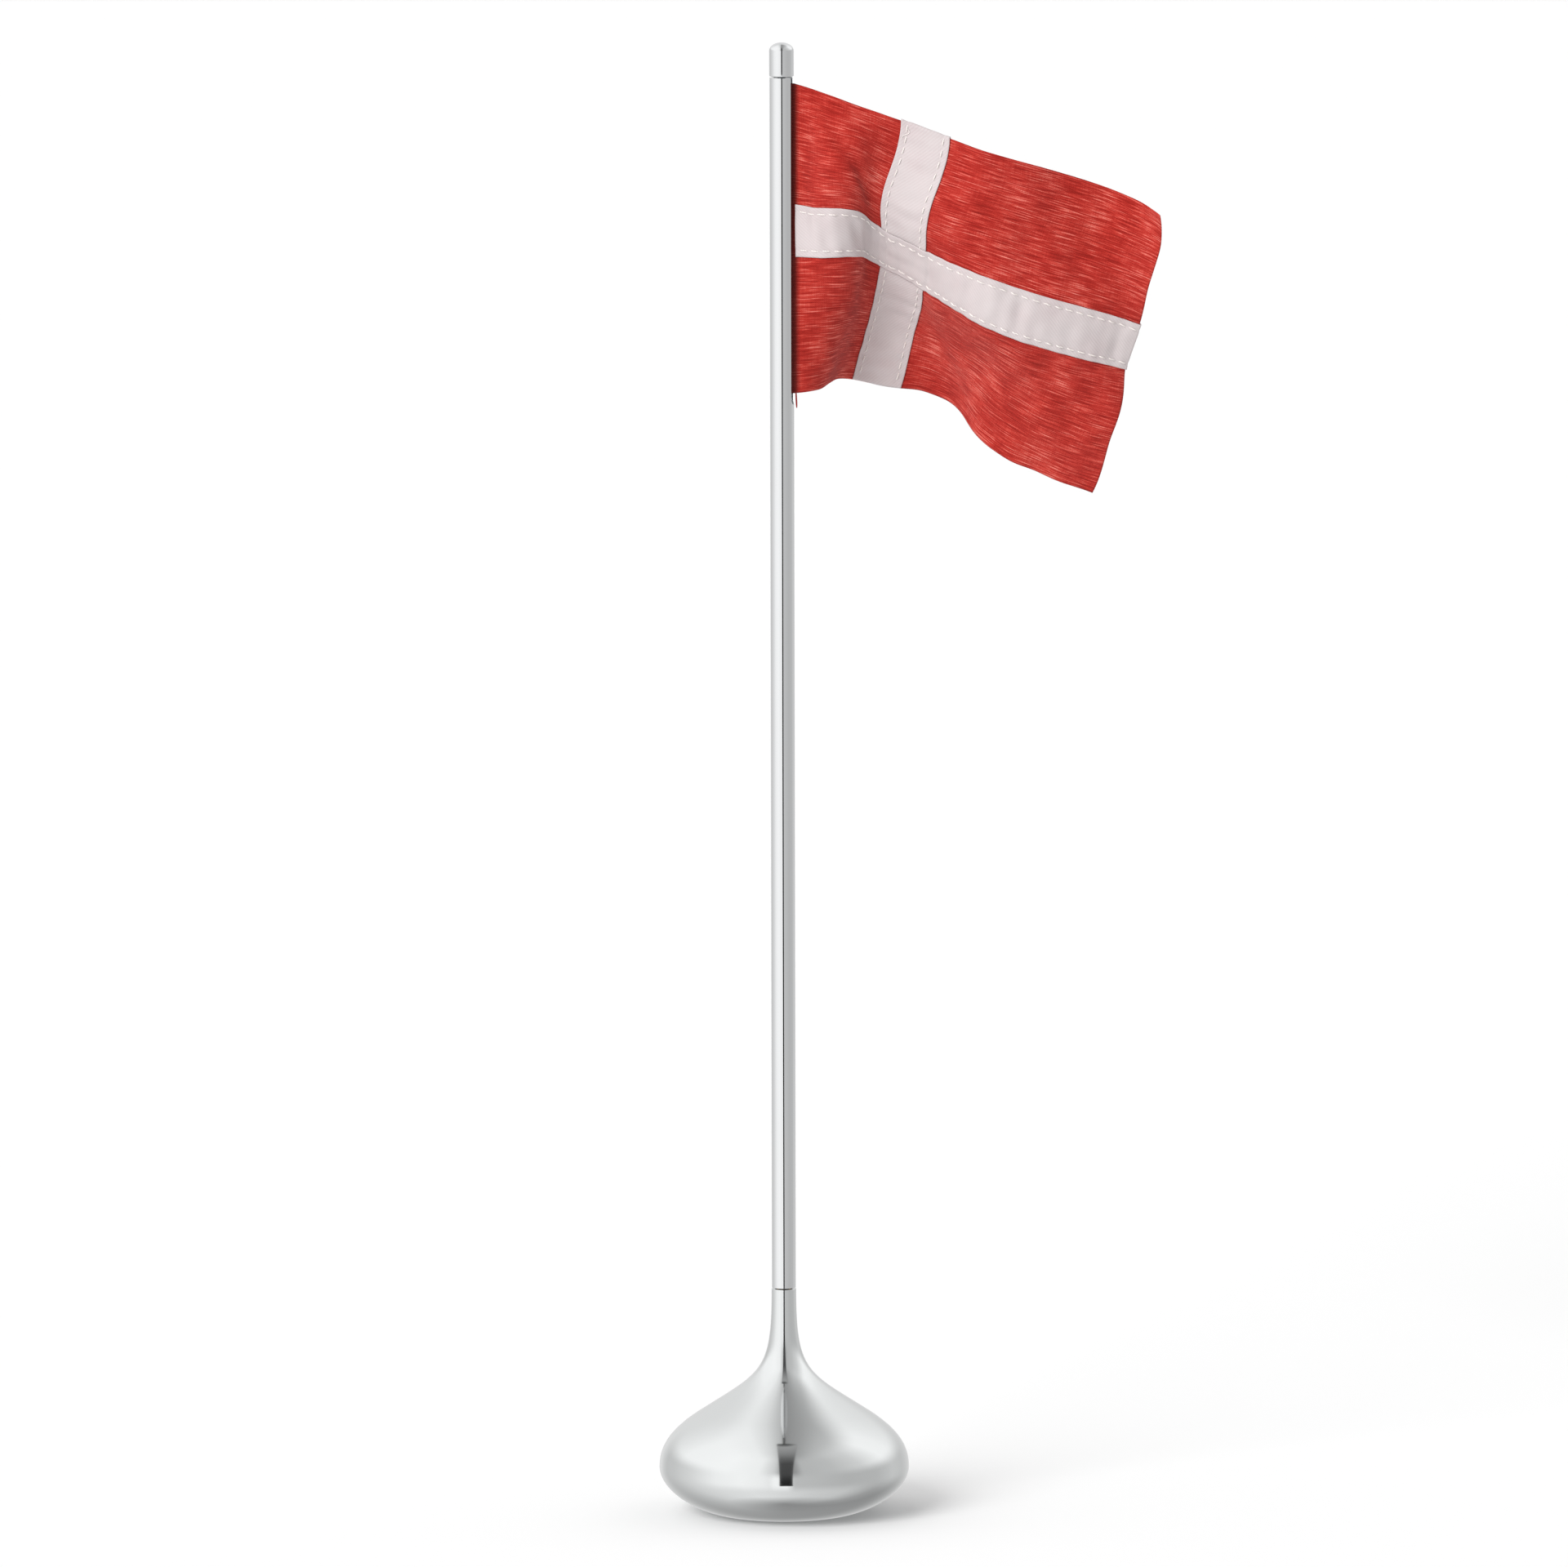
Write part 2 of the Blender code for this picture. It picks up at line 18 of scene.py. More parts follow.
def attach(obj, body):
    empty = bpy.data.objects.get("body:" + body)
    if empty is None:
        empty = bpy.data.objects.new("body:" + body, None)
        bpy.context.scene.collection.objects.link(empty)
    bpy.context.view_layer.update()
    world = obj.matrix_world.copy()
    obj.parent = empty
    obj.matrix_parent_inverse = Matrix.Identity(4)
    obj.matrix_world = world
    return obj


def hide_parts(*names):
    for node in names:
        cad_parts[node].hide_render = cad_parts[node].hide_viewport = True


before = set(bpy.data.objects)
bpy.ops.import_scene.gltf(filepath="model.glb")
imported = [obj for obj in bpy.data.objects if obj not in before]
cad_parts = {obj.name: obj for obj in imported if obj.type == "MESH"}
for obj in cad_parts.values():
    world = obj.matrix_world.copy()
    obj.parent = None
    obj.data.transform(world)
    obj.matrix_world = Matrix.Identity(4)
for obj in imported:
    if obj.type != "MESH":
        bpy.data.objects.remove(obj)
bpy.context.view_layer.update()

MM = 0.001
SMALLEST_STEP = 0.0001 * MM
SHARP_ANGLE = math.radians(38)
log = logging.getLogger("desk_flag_stand")

Material = bpy.types.Material
Node = bpy.types.Node
Object = bpy.types.Object
Tree = bpy.types.NodeTree
Colour = tuple[float, float, float, float]
Span = tuple[float, float]
Table = tuple[Span, ...]
Stops = list[tuple[float, Colour]]


# ---------------------------------------------------------------- small helpers


def linear(code: str) -> Colour:
    """Turn an sRGB hex colour into linear red, green, blue and alpha.

    Args:
        code: The colour as "#RRGGBB".

    Returns:
        Four linear values.
    """
    values = [int(code[i : i + 2], 16) / 255 for i in (1, 3, 5)]
    red, green, blue = (v / 12.92 if v <= 0.04045 else ((v + 0.055) / 1.055) ** 2.4 for v in values)
    return red, green, blue, 1.0


def add_node(
    tree: Tree,
    kind: str,
    inputs: dict[str | int, object] | None = None,
    stops: Stops | None = None,
    **settings: object,
) -> Node:
    """Add a node with its settings, its input values and its links.

    Args:
        tree: The node tree that gets the node.
        kind: The node's type without its "ShaderNode" prefix.
        inputs: For each input, a value, a socket, or a node whose first output is linked.
        stops: For a colour ramp, its (position, colour) stops.
        **settings: Properties of the node.

    Returns:
        The new node.
    """
    node = tree.nodes.new("ShaderNode" + kind)
    for name, value in settings.items():
        setattr(node, name, value)
    if stops:
        while len(node.color_ramp.elements) < len(stops):
            node.color_ramp.elements.new(1.0)
        for element, (position, colour) in zip(node.color_ramp.elements, stops):
            element.position = position
            element.color = colour
    for key, value in (inputs or {}).items():
        if isinstance(value, Node):
            tree.links.new(value.outputs[0], node.inputs[key])
        elif isinstance(value, bpy.types.NodeSocket):
            tree.links.new(value, node.inputs[key])
        else:
            node.inputs[key].default_value = value
    return node


def calculate(tree: Tree, operation: str, *values: object) -> Node:
    """Add a Math node that works on values, sockets or nodes, in their order."""
    return add_node(tree, "Math", dict(enumerate(values)), operation=operation)


def remap(
    tree: Tree,
    value: object,
    source: Span,
    target: Span = (0.0, 1.0),
    form: str = "LINEAR",
) -> Node:
    """Map a value from one span to another, and hold it beyond the ends.

    Args:
        tree: The node tree that gets the node.
        value: The value's node or socket.
        source: The span that it comes from.
        target: The span that it goes to.
        form: How it runs between the ends, as the node names it.

    Returns:
        The new node.
    """
    inputs = {"Value": value, 1: source[0], 2: source[1], 3: target[0], 4: target[1]}
    return add_node(tree, "MapRange", inputs, interpolation_type=form)


def blend(
    tree: Tree, share: Node, below: object, above: object
) -> bpy.types.NodeSocket:
    """Go from the colour below to the colour above as share goes from 0 to 1."""
    inputs = {0: share, 6: below, 7: above}
    return add_node(tree, "Mix", inputs, data_type="RGBA").outputs[2]


def smooth_step(value: np.ndarray) -> np.ndarray:
    """Rise smoothly from 0 to 1 as value goes from 0 to 1, with the cubic 3t^2 - 2t^3."""
    t = np.clip(value, 0.0, 1.0)
    return t * t * (3 - 2 * t)


def bell(distance: np.ndarray, width: float) -> np.ndarray:
    """Fall off from 1 as the Gaussian of distance over width."""
    return np.exp(-((distance / width) ** 2))


def unit(vectors: np.ndarray) -> np.ndarray:
    """Scale vectors on the last axis to length 1."""
    return vectors / np.linalg.norm(vectors, axis=-1, keepdims=True)


def add_object(name: str, data: bpy.types.ID) -> Object:
    """Make an object of a mesh, a light or a camera, and put it in the scene."""
    obj = bpy.data.objects.new(name, data)
    bpy.context.scene.collection.objects.link(obj)
    return obj


def settle(shape: bmesh.types.BMesh, mesh: bpy.types.Mesh, closed: bool) -> None:
    """Write an edited shape to its mesh, shaded smooth up to its sharp edges.

    Args:
        shape: The edited shape, which is freed.
        mesh: The mesh that it is written to.
        closed: Whether to merge points that coincide and turn the surface to face outwards.
    """
    if closed:
        bmesh.ops.remove_doubles(shape, verts=shape.verts, dist=SMALLEST_STEP)
        bmesh.ops.recalc_face_normals(shape, faces=shape.faces)
    shape.to_mesh(mesh)
    shape.free()
    mesh.shade_smooth()
    mesh.set_sharp_from_angle(angle=SHARP_ANGLE)


def thicken(sheet: Object, thickness: float) -> None:
    """Give a surface a thickness in millimetres, half of it on each side."""
    wall = sheet.modifiers.new("thickness", "SOLIDIFY")
    wall.thickness = thickness * MM
    wall.offset = 0.0


def grid_object(
    name: str,
    points: np.ndarray,
    material: Material,
    wrap: bool = False,
    uv: np.ndarray | None = None,
    closed: bool = True,
) -> Object:
    """Make an object from one or more grids of points.

    Neighbouring points on each grid make quads. Points that coincide are merged, which closes
    seams and poles, and a closed surface is turned to face outwards.

    Args:
        name: The object's name.
        points: Array [..., row, column, xyz] in metres.
        material: Its finish.
        wrap: Whether the last column joins the first.
        uv: Array [..., row, column, 2] in millimetres, for patterns that follow the surface.
        closed: Whether the surface is closed as it is.

    Returns:
        The new object.
    """
    rows, columns = points.shape[-3:-1]
    index = np.arange(points.size // 3).reshape(-1, rows, columns)
    if wrap:
        index = np.concatenate((index, index[:, :, :1]), axis=2)
    corners = (index[:, :-1, :-1], index[:, 1:, :-1], index[:, 1:, 1:], index[:, :-1, 1:])
    quads = np.stack(corners, axis=-1).reshape(-1, 4)
    mesh = bpy.data.meshes.new(name)
    mesh.from_pydata(points.reshape(-1, 3).tolist(), [], quads.tolist())
    if uv is not None:
        layer = mesh.uv_layers.new(name="cloth")
        layer.data.foreach_set("uv", uv.reshape(-1, 2)[quads.ravel()].ravel())
    shape = bmesh.new()
    shape.from_mesh(mesh)
    settle(shape, mesh, closed)
    mesh.materials.append(material)
    return add_object(name, mesh)


def rounded(corners: list[tuple[float, float, float]], steps: int = 5) -> np.ndarray:
    """Follow straight lines between corners, each rounded by a quadratic curve.

    Args:
        corners: For each corner its radius, its height and its rounding, in millimetres.
        steps: How many stretches each rounded corner has.

    Returns:
        Array [point, (radius, height)] in metres.
    """
    places = np.array([c[:2] for c in corners], float)
    t = np.linspace(0.0, 1.0, steps + 1)[:, None]
    parts = [places[:1]]
    for before, corner, after, (_, _, size) in zip(places, places[1:], places[2:], corners[1:]):
        if size > 0:
            start = corner + unit(before - corner) * size
            end = corner + unit(after - corner) * size
            parts.append((1 - t) ** 2 * start + 2 * t * (1 - t) * corner + t**2 * end)
        else:
            parts.append(corner[None])
    parts.append(places[-1:])
    return np.concatenate(parts) * MM


def bezier(
    start: np.ndarray, handle_a: np.ndarray, handle_b: np.ndarray, end: np.ndarray, count: int
) -> np.ndarray:
    """Return points on a cubic Bezier curve, leaving out its first point.

    Args:
        start: First point.
        handle_a: Handle that the curve leaves towards.
        handle_b: Handle that the curve arrives from.
        end: Last point.
        count: How many points.

    Returns:
        Array [point, (radius, height)].
    """
    t = np.linspace(0.0, 1.0, count + 1)[1:, None]
    near = (1 - t) ** 3 * start + 3 * (1 - t) ** 2 * t * handle_a
    return near + 3 * (1 - t) * t**2 * handle_b + t**3 * end


def turned_object(
    name: str, outline: np.ndarray, material: Material, steps: int = 192
) -> Object:
    """Turn an outline round Z: x and y are its radius times the cosine and sine of the turn.

    Args:
        name: The object's name.
        outline: Array [point, (radius, height)] that starts and ends on the axis.
        material: Its finish.
        steps: How many stretches a full turn has.

    Returns:
        The new object.
    """
    turn = np.arange(steps) * math.tau / steps
    points = np.zeros((len(outline), steps, 3))
    points[..., 0] = outline[:, :1] * np.cos(turn)
    points[..., 1] = outline[:, :1] * np.sin(turn)
    points[..., 2] = outline[:, 1:]
    return grid_object(name, points, material, wrap=True)


def tubes(
    name: str,
    centres: np.ndarray,
    up: np.ndarray,
    radius: float,
    material: Material,
    sides: int = 6,
) -> Object:
    """Carry a circle along one or more paths, with its radius rounded off to zero at both ends.

    Args:
        name: The object's name.
        centres: Array [path, ring, xyz].
        up: Array like centres, a direction that isn't along the path.
        radius: The thread's radius.
        material: Its finish.
        sides: How many points each ring has.

    Returns:
        The new object.
    """
    ahead = unit(np.gradient(centres, axis=1))
    aside = unit(np.cross(ahead, up))
    above = np.cross(aside, ahead)
    turn = np.arange(sides) * math.tau / sides
    place = np.linspace(-1.0, 1.0, centres.shape[1])
    size = radius * np.sqrt(np.clip(1 - place**4, 0.0, 1.0))[:, None, None]
    ring = np.cos(turn)[:, None] * aside[:, :, None] + np.sin(turn)[:, None] * above[:, :, None]
    return grid_object(name, centres[:, :, None] + size * ring, material, wrap=True)


# ---------------------------------------------------------------- finishes


@dataclass(frozen=True)
class Finish:
    """What every finish has: its name, its colour, and values that are the same all over it."""

    name: str
    colour: str
    roughness: float
    metallic: float = 0.0

    def start(self) -> tuple[Material, Tree, Node, Node]:
        """Make the material with its colour and shader values.

        Returns:
            The material, its tree, its shader, and a node with Object coordinates in mm.
        """
        material = bpy.data.materials.new(self.name)
        material.use_nodes = True
        tree = material.node_tree
        shader = tree.nodes["Principled BSDF"]
        shader.inputs["Base Color"].default_value = linear(self.colour)
        shader.inputs["Roughness"].default_value = self.roughness
        shader.inputs["Metallic"].default_value = self.metallic
        where = add_node(tree, "TexCoord").outputs["Object"]
        scale = (1 / MM, 1 / MM, 1 / MM)
        in_mm = add_node(tree, "VectorMath", {0: where, 1: scale}, operation="MULTIPLY")
        return material, tree, shader, in_mm

    @staticmethod
    def paint(shader: Node, tone: Node, stops: Stops) -> None:
        """Colour a shader by a value.

        Args:
            shader: The shader.
            tone: The node whose first output is the value.
            stops: The ramp's stops.
        """
        tree = shader.id_data
        tint = add_node(tree, "ValToRGB", {0: tone}, stops)
        tree.links.new(tint.outputs[0], shader.inputs["Base Color"])

    @staticmethod
    def emboss(shader: Node, height: Node, strength: float, depth: float) -> None:
        """Raise a relief on a shader.

        Args:
            shader: The shader.
            height: The node whose first output is the relief's height.
            strength: How strongly it shows, 0 to 1.
            depth: How deep it is, in millimetres.
        """
        tree = shader.id_data
        relief = {"Height": height, "Strength": strength, "Distance": depth * MM}
        tree.links.new(add_node(tree, "Bump", relief).outputs[0], shader.inputs["Normal"])


@dataclass(frozen=True)
class ChromePlate(Finish):
    """Nickel-chrome plating over a polished base: a dark mirror with a faint polishing haze."""

    haze: float = 0.03
    haze_size: float = 9.0

    def build(self) -> Material:
        """Vary the roughness in broad soft patches, and lay faint polishing lines on it."""
        material, tree, shader, in_mm = self.start()
        patches = add_node(tree, "TexNoise", {"Vector": in_mm, "Scale": 1 / self.haze_size})
        low, high = self.roughness - self.haze / 2, self.roughness + self.haze / 2
        varied = remap(tree, patches, (0.0, 1.0), (low, high))
        tree.links.new(varied.outputs[0], shader.inputs["Roughness"])
        # Polishing lines are finer than this on the real plating: they are drawn 0.4 mm apart.
        stretched = add_node(tree, "Mapping", {"Vector": in_mm, "Scale": (0.2, 0.2, 2.5)})
        lines = add_node(tree, "TexNoise", {"Vector": stretched, "Scale": 1.0, "Detail": 3.0})
        self.emboss(shader, lines, 0.05, 0.004)
        return material


@dataclass(frozen=True)
class MachinedMetal(Finish):
    """Turned, plated or cast metal: a soft shine with tool rings or grit in it."""

    grain: tuple[float, float, float] = (0.6, 0.6, 6.0)
    relief: float = 0.02
    shade: str = "#808080"

    def build(self) -> Material:
        """Mix two shades and raise a relief by one noise, stretched as its grain says."""
        material, tree, shader, in_mm = self.start()
        stretched = add_node(tree, "Mapping", {"Vector": in_mm, "Scale": self.grain})
        grit = add_node(tree, "TexNoise", {"Vector": stretched, "Scale": 1.0, "Detail": 5.0})
        stops = [(0.3, linear(self.shade)), (0.65, linear(self.colour))]
        self.paint(shader, grit, stops)
        self.emboss(shader, grit, 0.6, self.relief)
        return material


@dataclass(frozen=True)
class PressedFelt(Finish):
    """Pressed wool felt: matt and fuzzy, with short hairs lying every way."""

    hair_size: float = 0.5
    shade: str = "#0B0B0C"

    def build(self) -> Material:
        """Shade and raise the felt by a fine noise at the size of its hair tufts."""
        material, tree, shader, in_mm = self.start()
        hairs = {"Vector": in_mm, "Scale": 1 / self.hair_size, "Detail": 6.0, "Distortion": 1.5}
        fuzz = add_node(tree, "TexNoise", hairs)
        self.paint(shader, fuzz, [(0.3, linear(self.shade)), (0.7, linear(self.colour))])
        self.emboss(shader, fuzz, 0.9, 0.15)
        shader.inputs["Sheen Weight"].default_value = 0.35
        return material


@dataclass(frozen=True)
class SlubCotton(Finish):
    """Plain woven cotton, piece dyed: uneven threads that take the dye unevenly, so that the
    thick ones show as fine pale streaks along the weft."""

    pale: str = "#D87A6E"
    light: str = "#B83A30"
    dark: str = "#84160F"
    # Painted shadow of the pole: the cloth is painted darker where it leaves the slot, by its
    # distance from there.
    painted_shadow_colour: str = "#300402"
    painted_shadow_band: Span = (1.5, 0.3)
    painted_shadow_share: float = 0.8
    # How much each noise counts in the tone, and how far the dye's patches shift it.
    slub_share: float = 1.3
    yarn_share: float = 0.16
    dye_shift: float = 0.07
    dye_size: float = 11.0
    relief: float = 0.045
    thread: float = 0.25
    slub_length: float = 6.5

    def build(self) -> Material:
        """Give each weft and warp thread its own noise, and raise the crossings of the weave."""
        material, tree, shader, _ = self.start()
        flat = add_node(tree, "UVMap", uv_map="cloth")
        place = add_node(tree, "SeparateXYZ", {0: flat})
        along, down = place.outputs[0], place.outputs[1]

        weft = calculate(tree, "DIVIDE", down, self.thread)
        warp = calculate(tree, "DIVIDE", along, self.thread)
        stretch = 1 / self.slub_length
        run = calculate(tree, "MULTIPLY", along, stretch)
        fall = calculate(tree, "MULTIPLY", down, stretch * 1.6)
        weft_place = add_node(tree, "CombineXYZ", {0: run, 1: weft})
        warp_place = add_node(tree, "CombineXYZ", {0: warp, 1: fall, 2: 40.0})
        weft_noise = {"Vector": weft_place, "Scale": 0.95, "Detail": 4.0, "Roughness": 0.62}
        warp_noise = {"Vector": warp_place, "Scale": 0.95, "Detail": 2.0}
        slubs = add_node(tree, "TexNoise", weft_noise)
        yarns = add_node(tree, "TexNoise", warp_noise)
        dye_noise = {"Vector": flat, "Scale": 1 / self.dye_size, "Detail": 3.0}
        dye = add_node(tree, "TexNoise", dye_noise)

        shift = remap(tree, dye, (0.3, 0.7), (-self.dye_shift, self.dye_shift))
        both = calculate(tree, "MULTIPLY_ADD", yarns, self.yarn_share, shift)
        tone = calculate(tree, "MULTIPLY_ADD", slubs, self.slub_share, both)
        stops = [
            (0.52, linear(self.dark)),
            (0.70, linear(self.colour)),
            (0.82, linear(self.light)),
            (0.99, linear(self.pale)),
        ]
        tint = add_node(tree, "ValToRGB", {0: tone}, stops)
        # Painted shadow: the pole's shadow is mixed into the cloth's colour, darkest at the slot.
        painted_shadow_mask = remap(tree, along, self.painted_shadow_band, (0.0, self.painted_shadow_share))
        cover = blend(tree, painted_shadow_mask, tint, linear(self.painted_shadow_colour))
        tree.links.new(cover, shader.inputs["Base Color"])

        # A plain weave: the sine of one thread count times the sine of the other.
        over = calculate(tree, "MULTIPLY", weft, math.pi)
        under = calculate(tree, "MULTIPLY", warp, math.pi)
        rise = calculate(tree, "SINE", over)
        dip = calculate(tree, "SINE", under)
        weave = calculate(tree, "MULTIPLY", rise, dip)
        cloth = calculate(tree, "MULTIPLY_ADD", slubs, 3.0, weave)
        self.emboss(shader, cloth, 0.7, self.relief)
        shader.inputs["Sheen Weight"].default_value = 0.12
        shader.inputs["Sheen Roughness"].default_value = 0.5
        shader.inputs["Sheen Tint"].default_value = linear("#F2B8B0")
        shader.inputs["Specular IOR Level"].default_value = 0.25
        return material


@dataclass(frozen=True)
class TwillRibbon(Finish):
    """Polyester twill ribbon: fine slanting ribs with a soft satin shine."""

    # Real ribs are 0.35 mm apart: they are drawn a little coarser, so that they can be seen.
    rib: float = 0.62
    shade: str = "#B9ABAC"

    def build(self) -> Material:
        """Lay slanting ribs on it as a wave, and mottle its colour in soft patches."""
        material, tree, shader, _ = self.start()
        flat = add_node(tree, "UVMap", uv_map="cloth")
        slant = {"Vector": flat, "Rotation": (0.0, 0.0, math.radians(52))}
        turned = add_node(tree, "Mapping", slant)
        # A wave texture of scale s has s * 20 / tau ribs to the unit, here a millimetre.
        wave = {"Vector": turned, "Scale": math.tau / 20 / self.rib, "Distortion": 0.4}
        ribs = add_node(tree, "TexWave", wave, bands_direction="X")
        mottle = add_node(tree, "TexNoise", {"Vector": flat, "Scale": 0.09, "Detail": 2.0})
        tone = calculate(tree, "MULTIPLY_ADD", ribs, 0.35, mottle)
        self.paint(shader, tone, [(0.30, linear(self.shade)), (0.85, linear(self.colour))])
        self.emboss(shader, ribs, 0.6, 0.03)
        shader.inputs["Sheen Weight"].default_value = 0.1
        return material


@dataclass(frozen=True)
class SpunThread(Finish):
    """Spun polyester sewing thread: plied, slightly glossy, a touch brighter than the ribbon."""

    ply: float = 0.35
    groove_shade_share: float = 0.72

    def build(self) -> Material:
        """Paint shade into the grooves between the plies as darker slanting bands."""
        material, tree, shader, in_mm = self.start()
        slant = add_node(tree, "Mapping", {"Vector": in_mm, "Rotation": (0.6, 0.5, 0.8)})
        wave = {"Vector": slant, "Scale": math.tau / 20 / self.ply, "Distortion": 1.0}
        plies = add_node(tree, "TexWave", wave)
        # Painted shade: the colour in the grooves between the plies, darkened by the share above.
        painted_groove_shade = tuple(value * self.groove_shade_share for value in linear(self.colour)[:3]) + (1.0,)
        self.paint(shader, plies, [(0.1, painted_groove_shade), (0.6, linear(self.colour))])
        return material


@dataclass(frozen=True)
class StudioPaper(Finish):
    """Matt white paper sweep under the stand, with a hardly visible tooth."""

    tooth: float = 0.8

    def build(self) -> Material:
        """Raise a very slight tooth."""
        material, tree, shader, in_mm = self.start()
        grain = add_node(tree, "TexNoise", {"Vector": in_mm, "Scale": 1 / self.tooth})
        self.emboss(shader, grain, 0.1, 0.01)
        return material


# ---------------------------------------------------------------- chromed pieces


@dataclass
class ChromedFoot:
    """The drop-shaped foot, cast and chromed, with its hidden fastenings and its felt pad.

    Sizes are in millimetres.
    """

    neck_radius: float = 2.92
    neck_top: float = 53.85
    widest_radius: float = 29.6
    widest_height: float = 11.2
    rim_radius: float = 15.0
    rim_height: float = 0.30
    shoulder_slope: float = 33.0
    turn_point: tuple[float, float] = (20.0, 24.3)
    cavity_radius: float = 13.3
    cavity_top: float = 25.0
    pad_radius: float = 13.0
    pad_thickness: float = 1.7
    stud_hole_radius: float = 2.05
    stud_hole_bottom: float = 40.0
    screw_hole_radius: float = 1.9
    screw_hole_top: float = 35.0

    def outline(self) -> np.ndarray:
        """Join the stud's hole, three Bezier curves down the outside, and the ballast cavity.

        Returns:
            Array [point, (radius, height)] in metres.
        """
        slope = math.radians(self.shoulder_slope)
        along = np.array((math.cos(slope), -math.sin(slope)))
        up = np.array((0.0, 1.0))
        turn = np.array(self.turn_point)
        top = np.array((self.neck_radius, self.neck_top))
        widest = np.array((self.widest_radius, self.widest_height))
        rim = np.array((self.rim_radius, self.rim_height))
        hole = [
            (0.0, self.stud_hole_bottom, 0.0),
            (self.stud_hole_radius, self.stud_hole_bottom + 1.0, 0.0),
            (self.stud_hole_radius, self.neck_top, 0.15),
            (self.neck_radius, self.neck_top, 0.15),
            (self.neck_radius, self.neck_top - 0.5, 0.0),
        ]
        neck = bezier(top, top - 20.0 * up, turn - 17.5 * along, turn, 90)
        shoulder = bezier(turn, turn + 9.0 * along, widest + 4.5 * up, widest, 60)
        belly = bezier(widest, widest - 5.5 * up, rim + np.array((6.0, 0.5)), rim, 60)
        below = [
            (*rim, 0.0),
            (self.cavity_radius, self.rim_height, 0.3),
            (self.cavity_radius, self.cavity_top, 1.0),
            (self.screw_hole_radius, self.cavity_top, 0.1),
            (self.screw_hole_radius, self.screw_hole_top - 1.0, 0.0),
            (0.0, self.screw_hole_top, 0.0),
        ]
        curves = np.concatenate((neck, shoulder, belly[:-1])) * MM
        return np.concatenate((rounded(hole), curves, rounded(below)))

    def build(self, chrome: Material, felt: Material) -> None:
        """Turn the foot and its pad.

        Args:
            chrome: The casting's finish.
            felt: The pad's finish.
        """
        foot = turned_object("polished_foot", self.outline(), chrome)
        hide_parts("foot_casting")
        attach(foot, "foot")
        corners = [
            (0.0, self.pad_thickness, 0.0),
            (self.pad_radius, self.pad_thickness, 0.25),
            (self.pad_radius, 0.0, 0.5),
            (0.0, 0.0, 0.0),
        ]
        pad = turned_object("felt_pad", rounded(corners, 6), felt, 128)
        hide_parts("foot_pad")
        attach(pad, "foot")
        log.info("polished_foot and felt_pad built")


@dataclass
class SlottedPole:
    """The drawn tube with a slot in its upper end. Sizes are in millimetres."""

    radius: float = 2.84
    bore: float = 2.10
    bottom: float = 54.10
    top: float = 341.75
    slot_width: float = 3.00
    slot_bottom: float = 264.40
    slot_turn: float = -8.0
    edge: float = 0.05

    def heights(self) -> np.ndarray:
        """Space rows along the tube, closely round the slot's lower end, as its circle needs."""
        half = self.slot_width / 2
        arc = self.slot_bottom + half * (1 - np.cos(np.linspace(0.0, math.pi / 2, 19)))
        below = np.linspace(self.bottom, self.slot_bottom, 8)[:-1]
        above = np.linspace(arc[-1], self.top, 5)[1:]
        return np.concatenate((below, arc, above))

    def wall(self, radius: float) -> np.ndarray:
        """Lay out one wall: a circle, less the slot's angle at each height.

        The slot's half width follows a circle at its lower end and is constant above, and the
        angle on each side is the arcsine of half width over radius.

        Args:
            radius: The wall's radius.

        Returns:
            Array [row, column, xyz] in metres.
        """
        height = self.heights()
        half = self.slot_width / 2
        rise = np.clip(height - self.slot_bottom, 0.0, half)
        width = np.sqrt(np.clip(half**2 - (half - rise) ** 2, 0.0, None))
        gap = np.arcsin(width / radius)[:, None]
        share = np.linspace(0.0, 1.0, 193)
        turn = math.radians(self.slot_turn) + gap + share * (math.tau - 2 * gap)
        level = np.broadcast_to(height[:, None], turn.shape)
        return np.stack((radius * np.cos(turn), radius * np.sin(turn), level), axis=-1) * MM

    def build(self, chrome: Material) -> None:
        """Join the outer wall, the inner wall, both ends and the slot's two sides."""
        outer, inner = self.wall(self.radius), self.wall(self.bore)
        first = np.searchsorted(self.heights(), self.slot_bottom)
        parts = [
            outer,
            inner,
            np.stack((outer[0], inner[0])),
            np.stack((outer[-1], inner[-1])),
            np.stack((outer[first:, 0], inner[first:, 0])),
            np.stack((outer[first:, -1], inner[first:, -1])),
        ]
        pieces = [grid_object("pole_part", part, chrome, closed=False) for part in parts]
        shape = bmesh.new()
        for piece in pieces:
            shape.from_mesh(piece.data)
        pole = pieces[0]
        settle(shape, pole.data, closed=True)
        for piece in pieces[1:]:
            bpy.data.objects.remove(piece)
        pole.name = "polished_pole"
        bevel = pole.modifiers.new("broken edges", "BEVEL")
        bevel.width = self.edge * MM
        bevel.segments = 2
        bevel.limit_method = "ANGLE"
        bevel.angle_limit = math.radians(60)
        bevel.use_clamp_overlap = False
        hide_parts("pole_tube")
        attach(pole, "pole")
        log.info("polished_pole built")


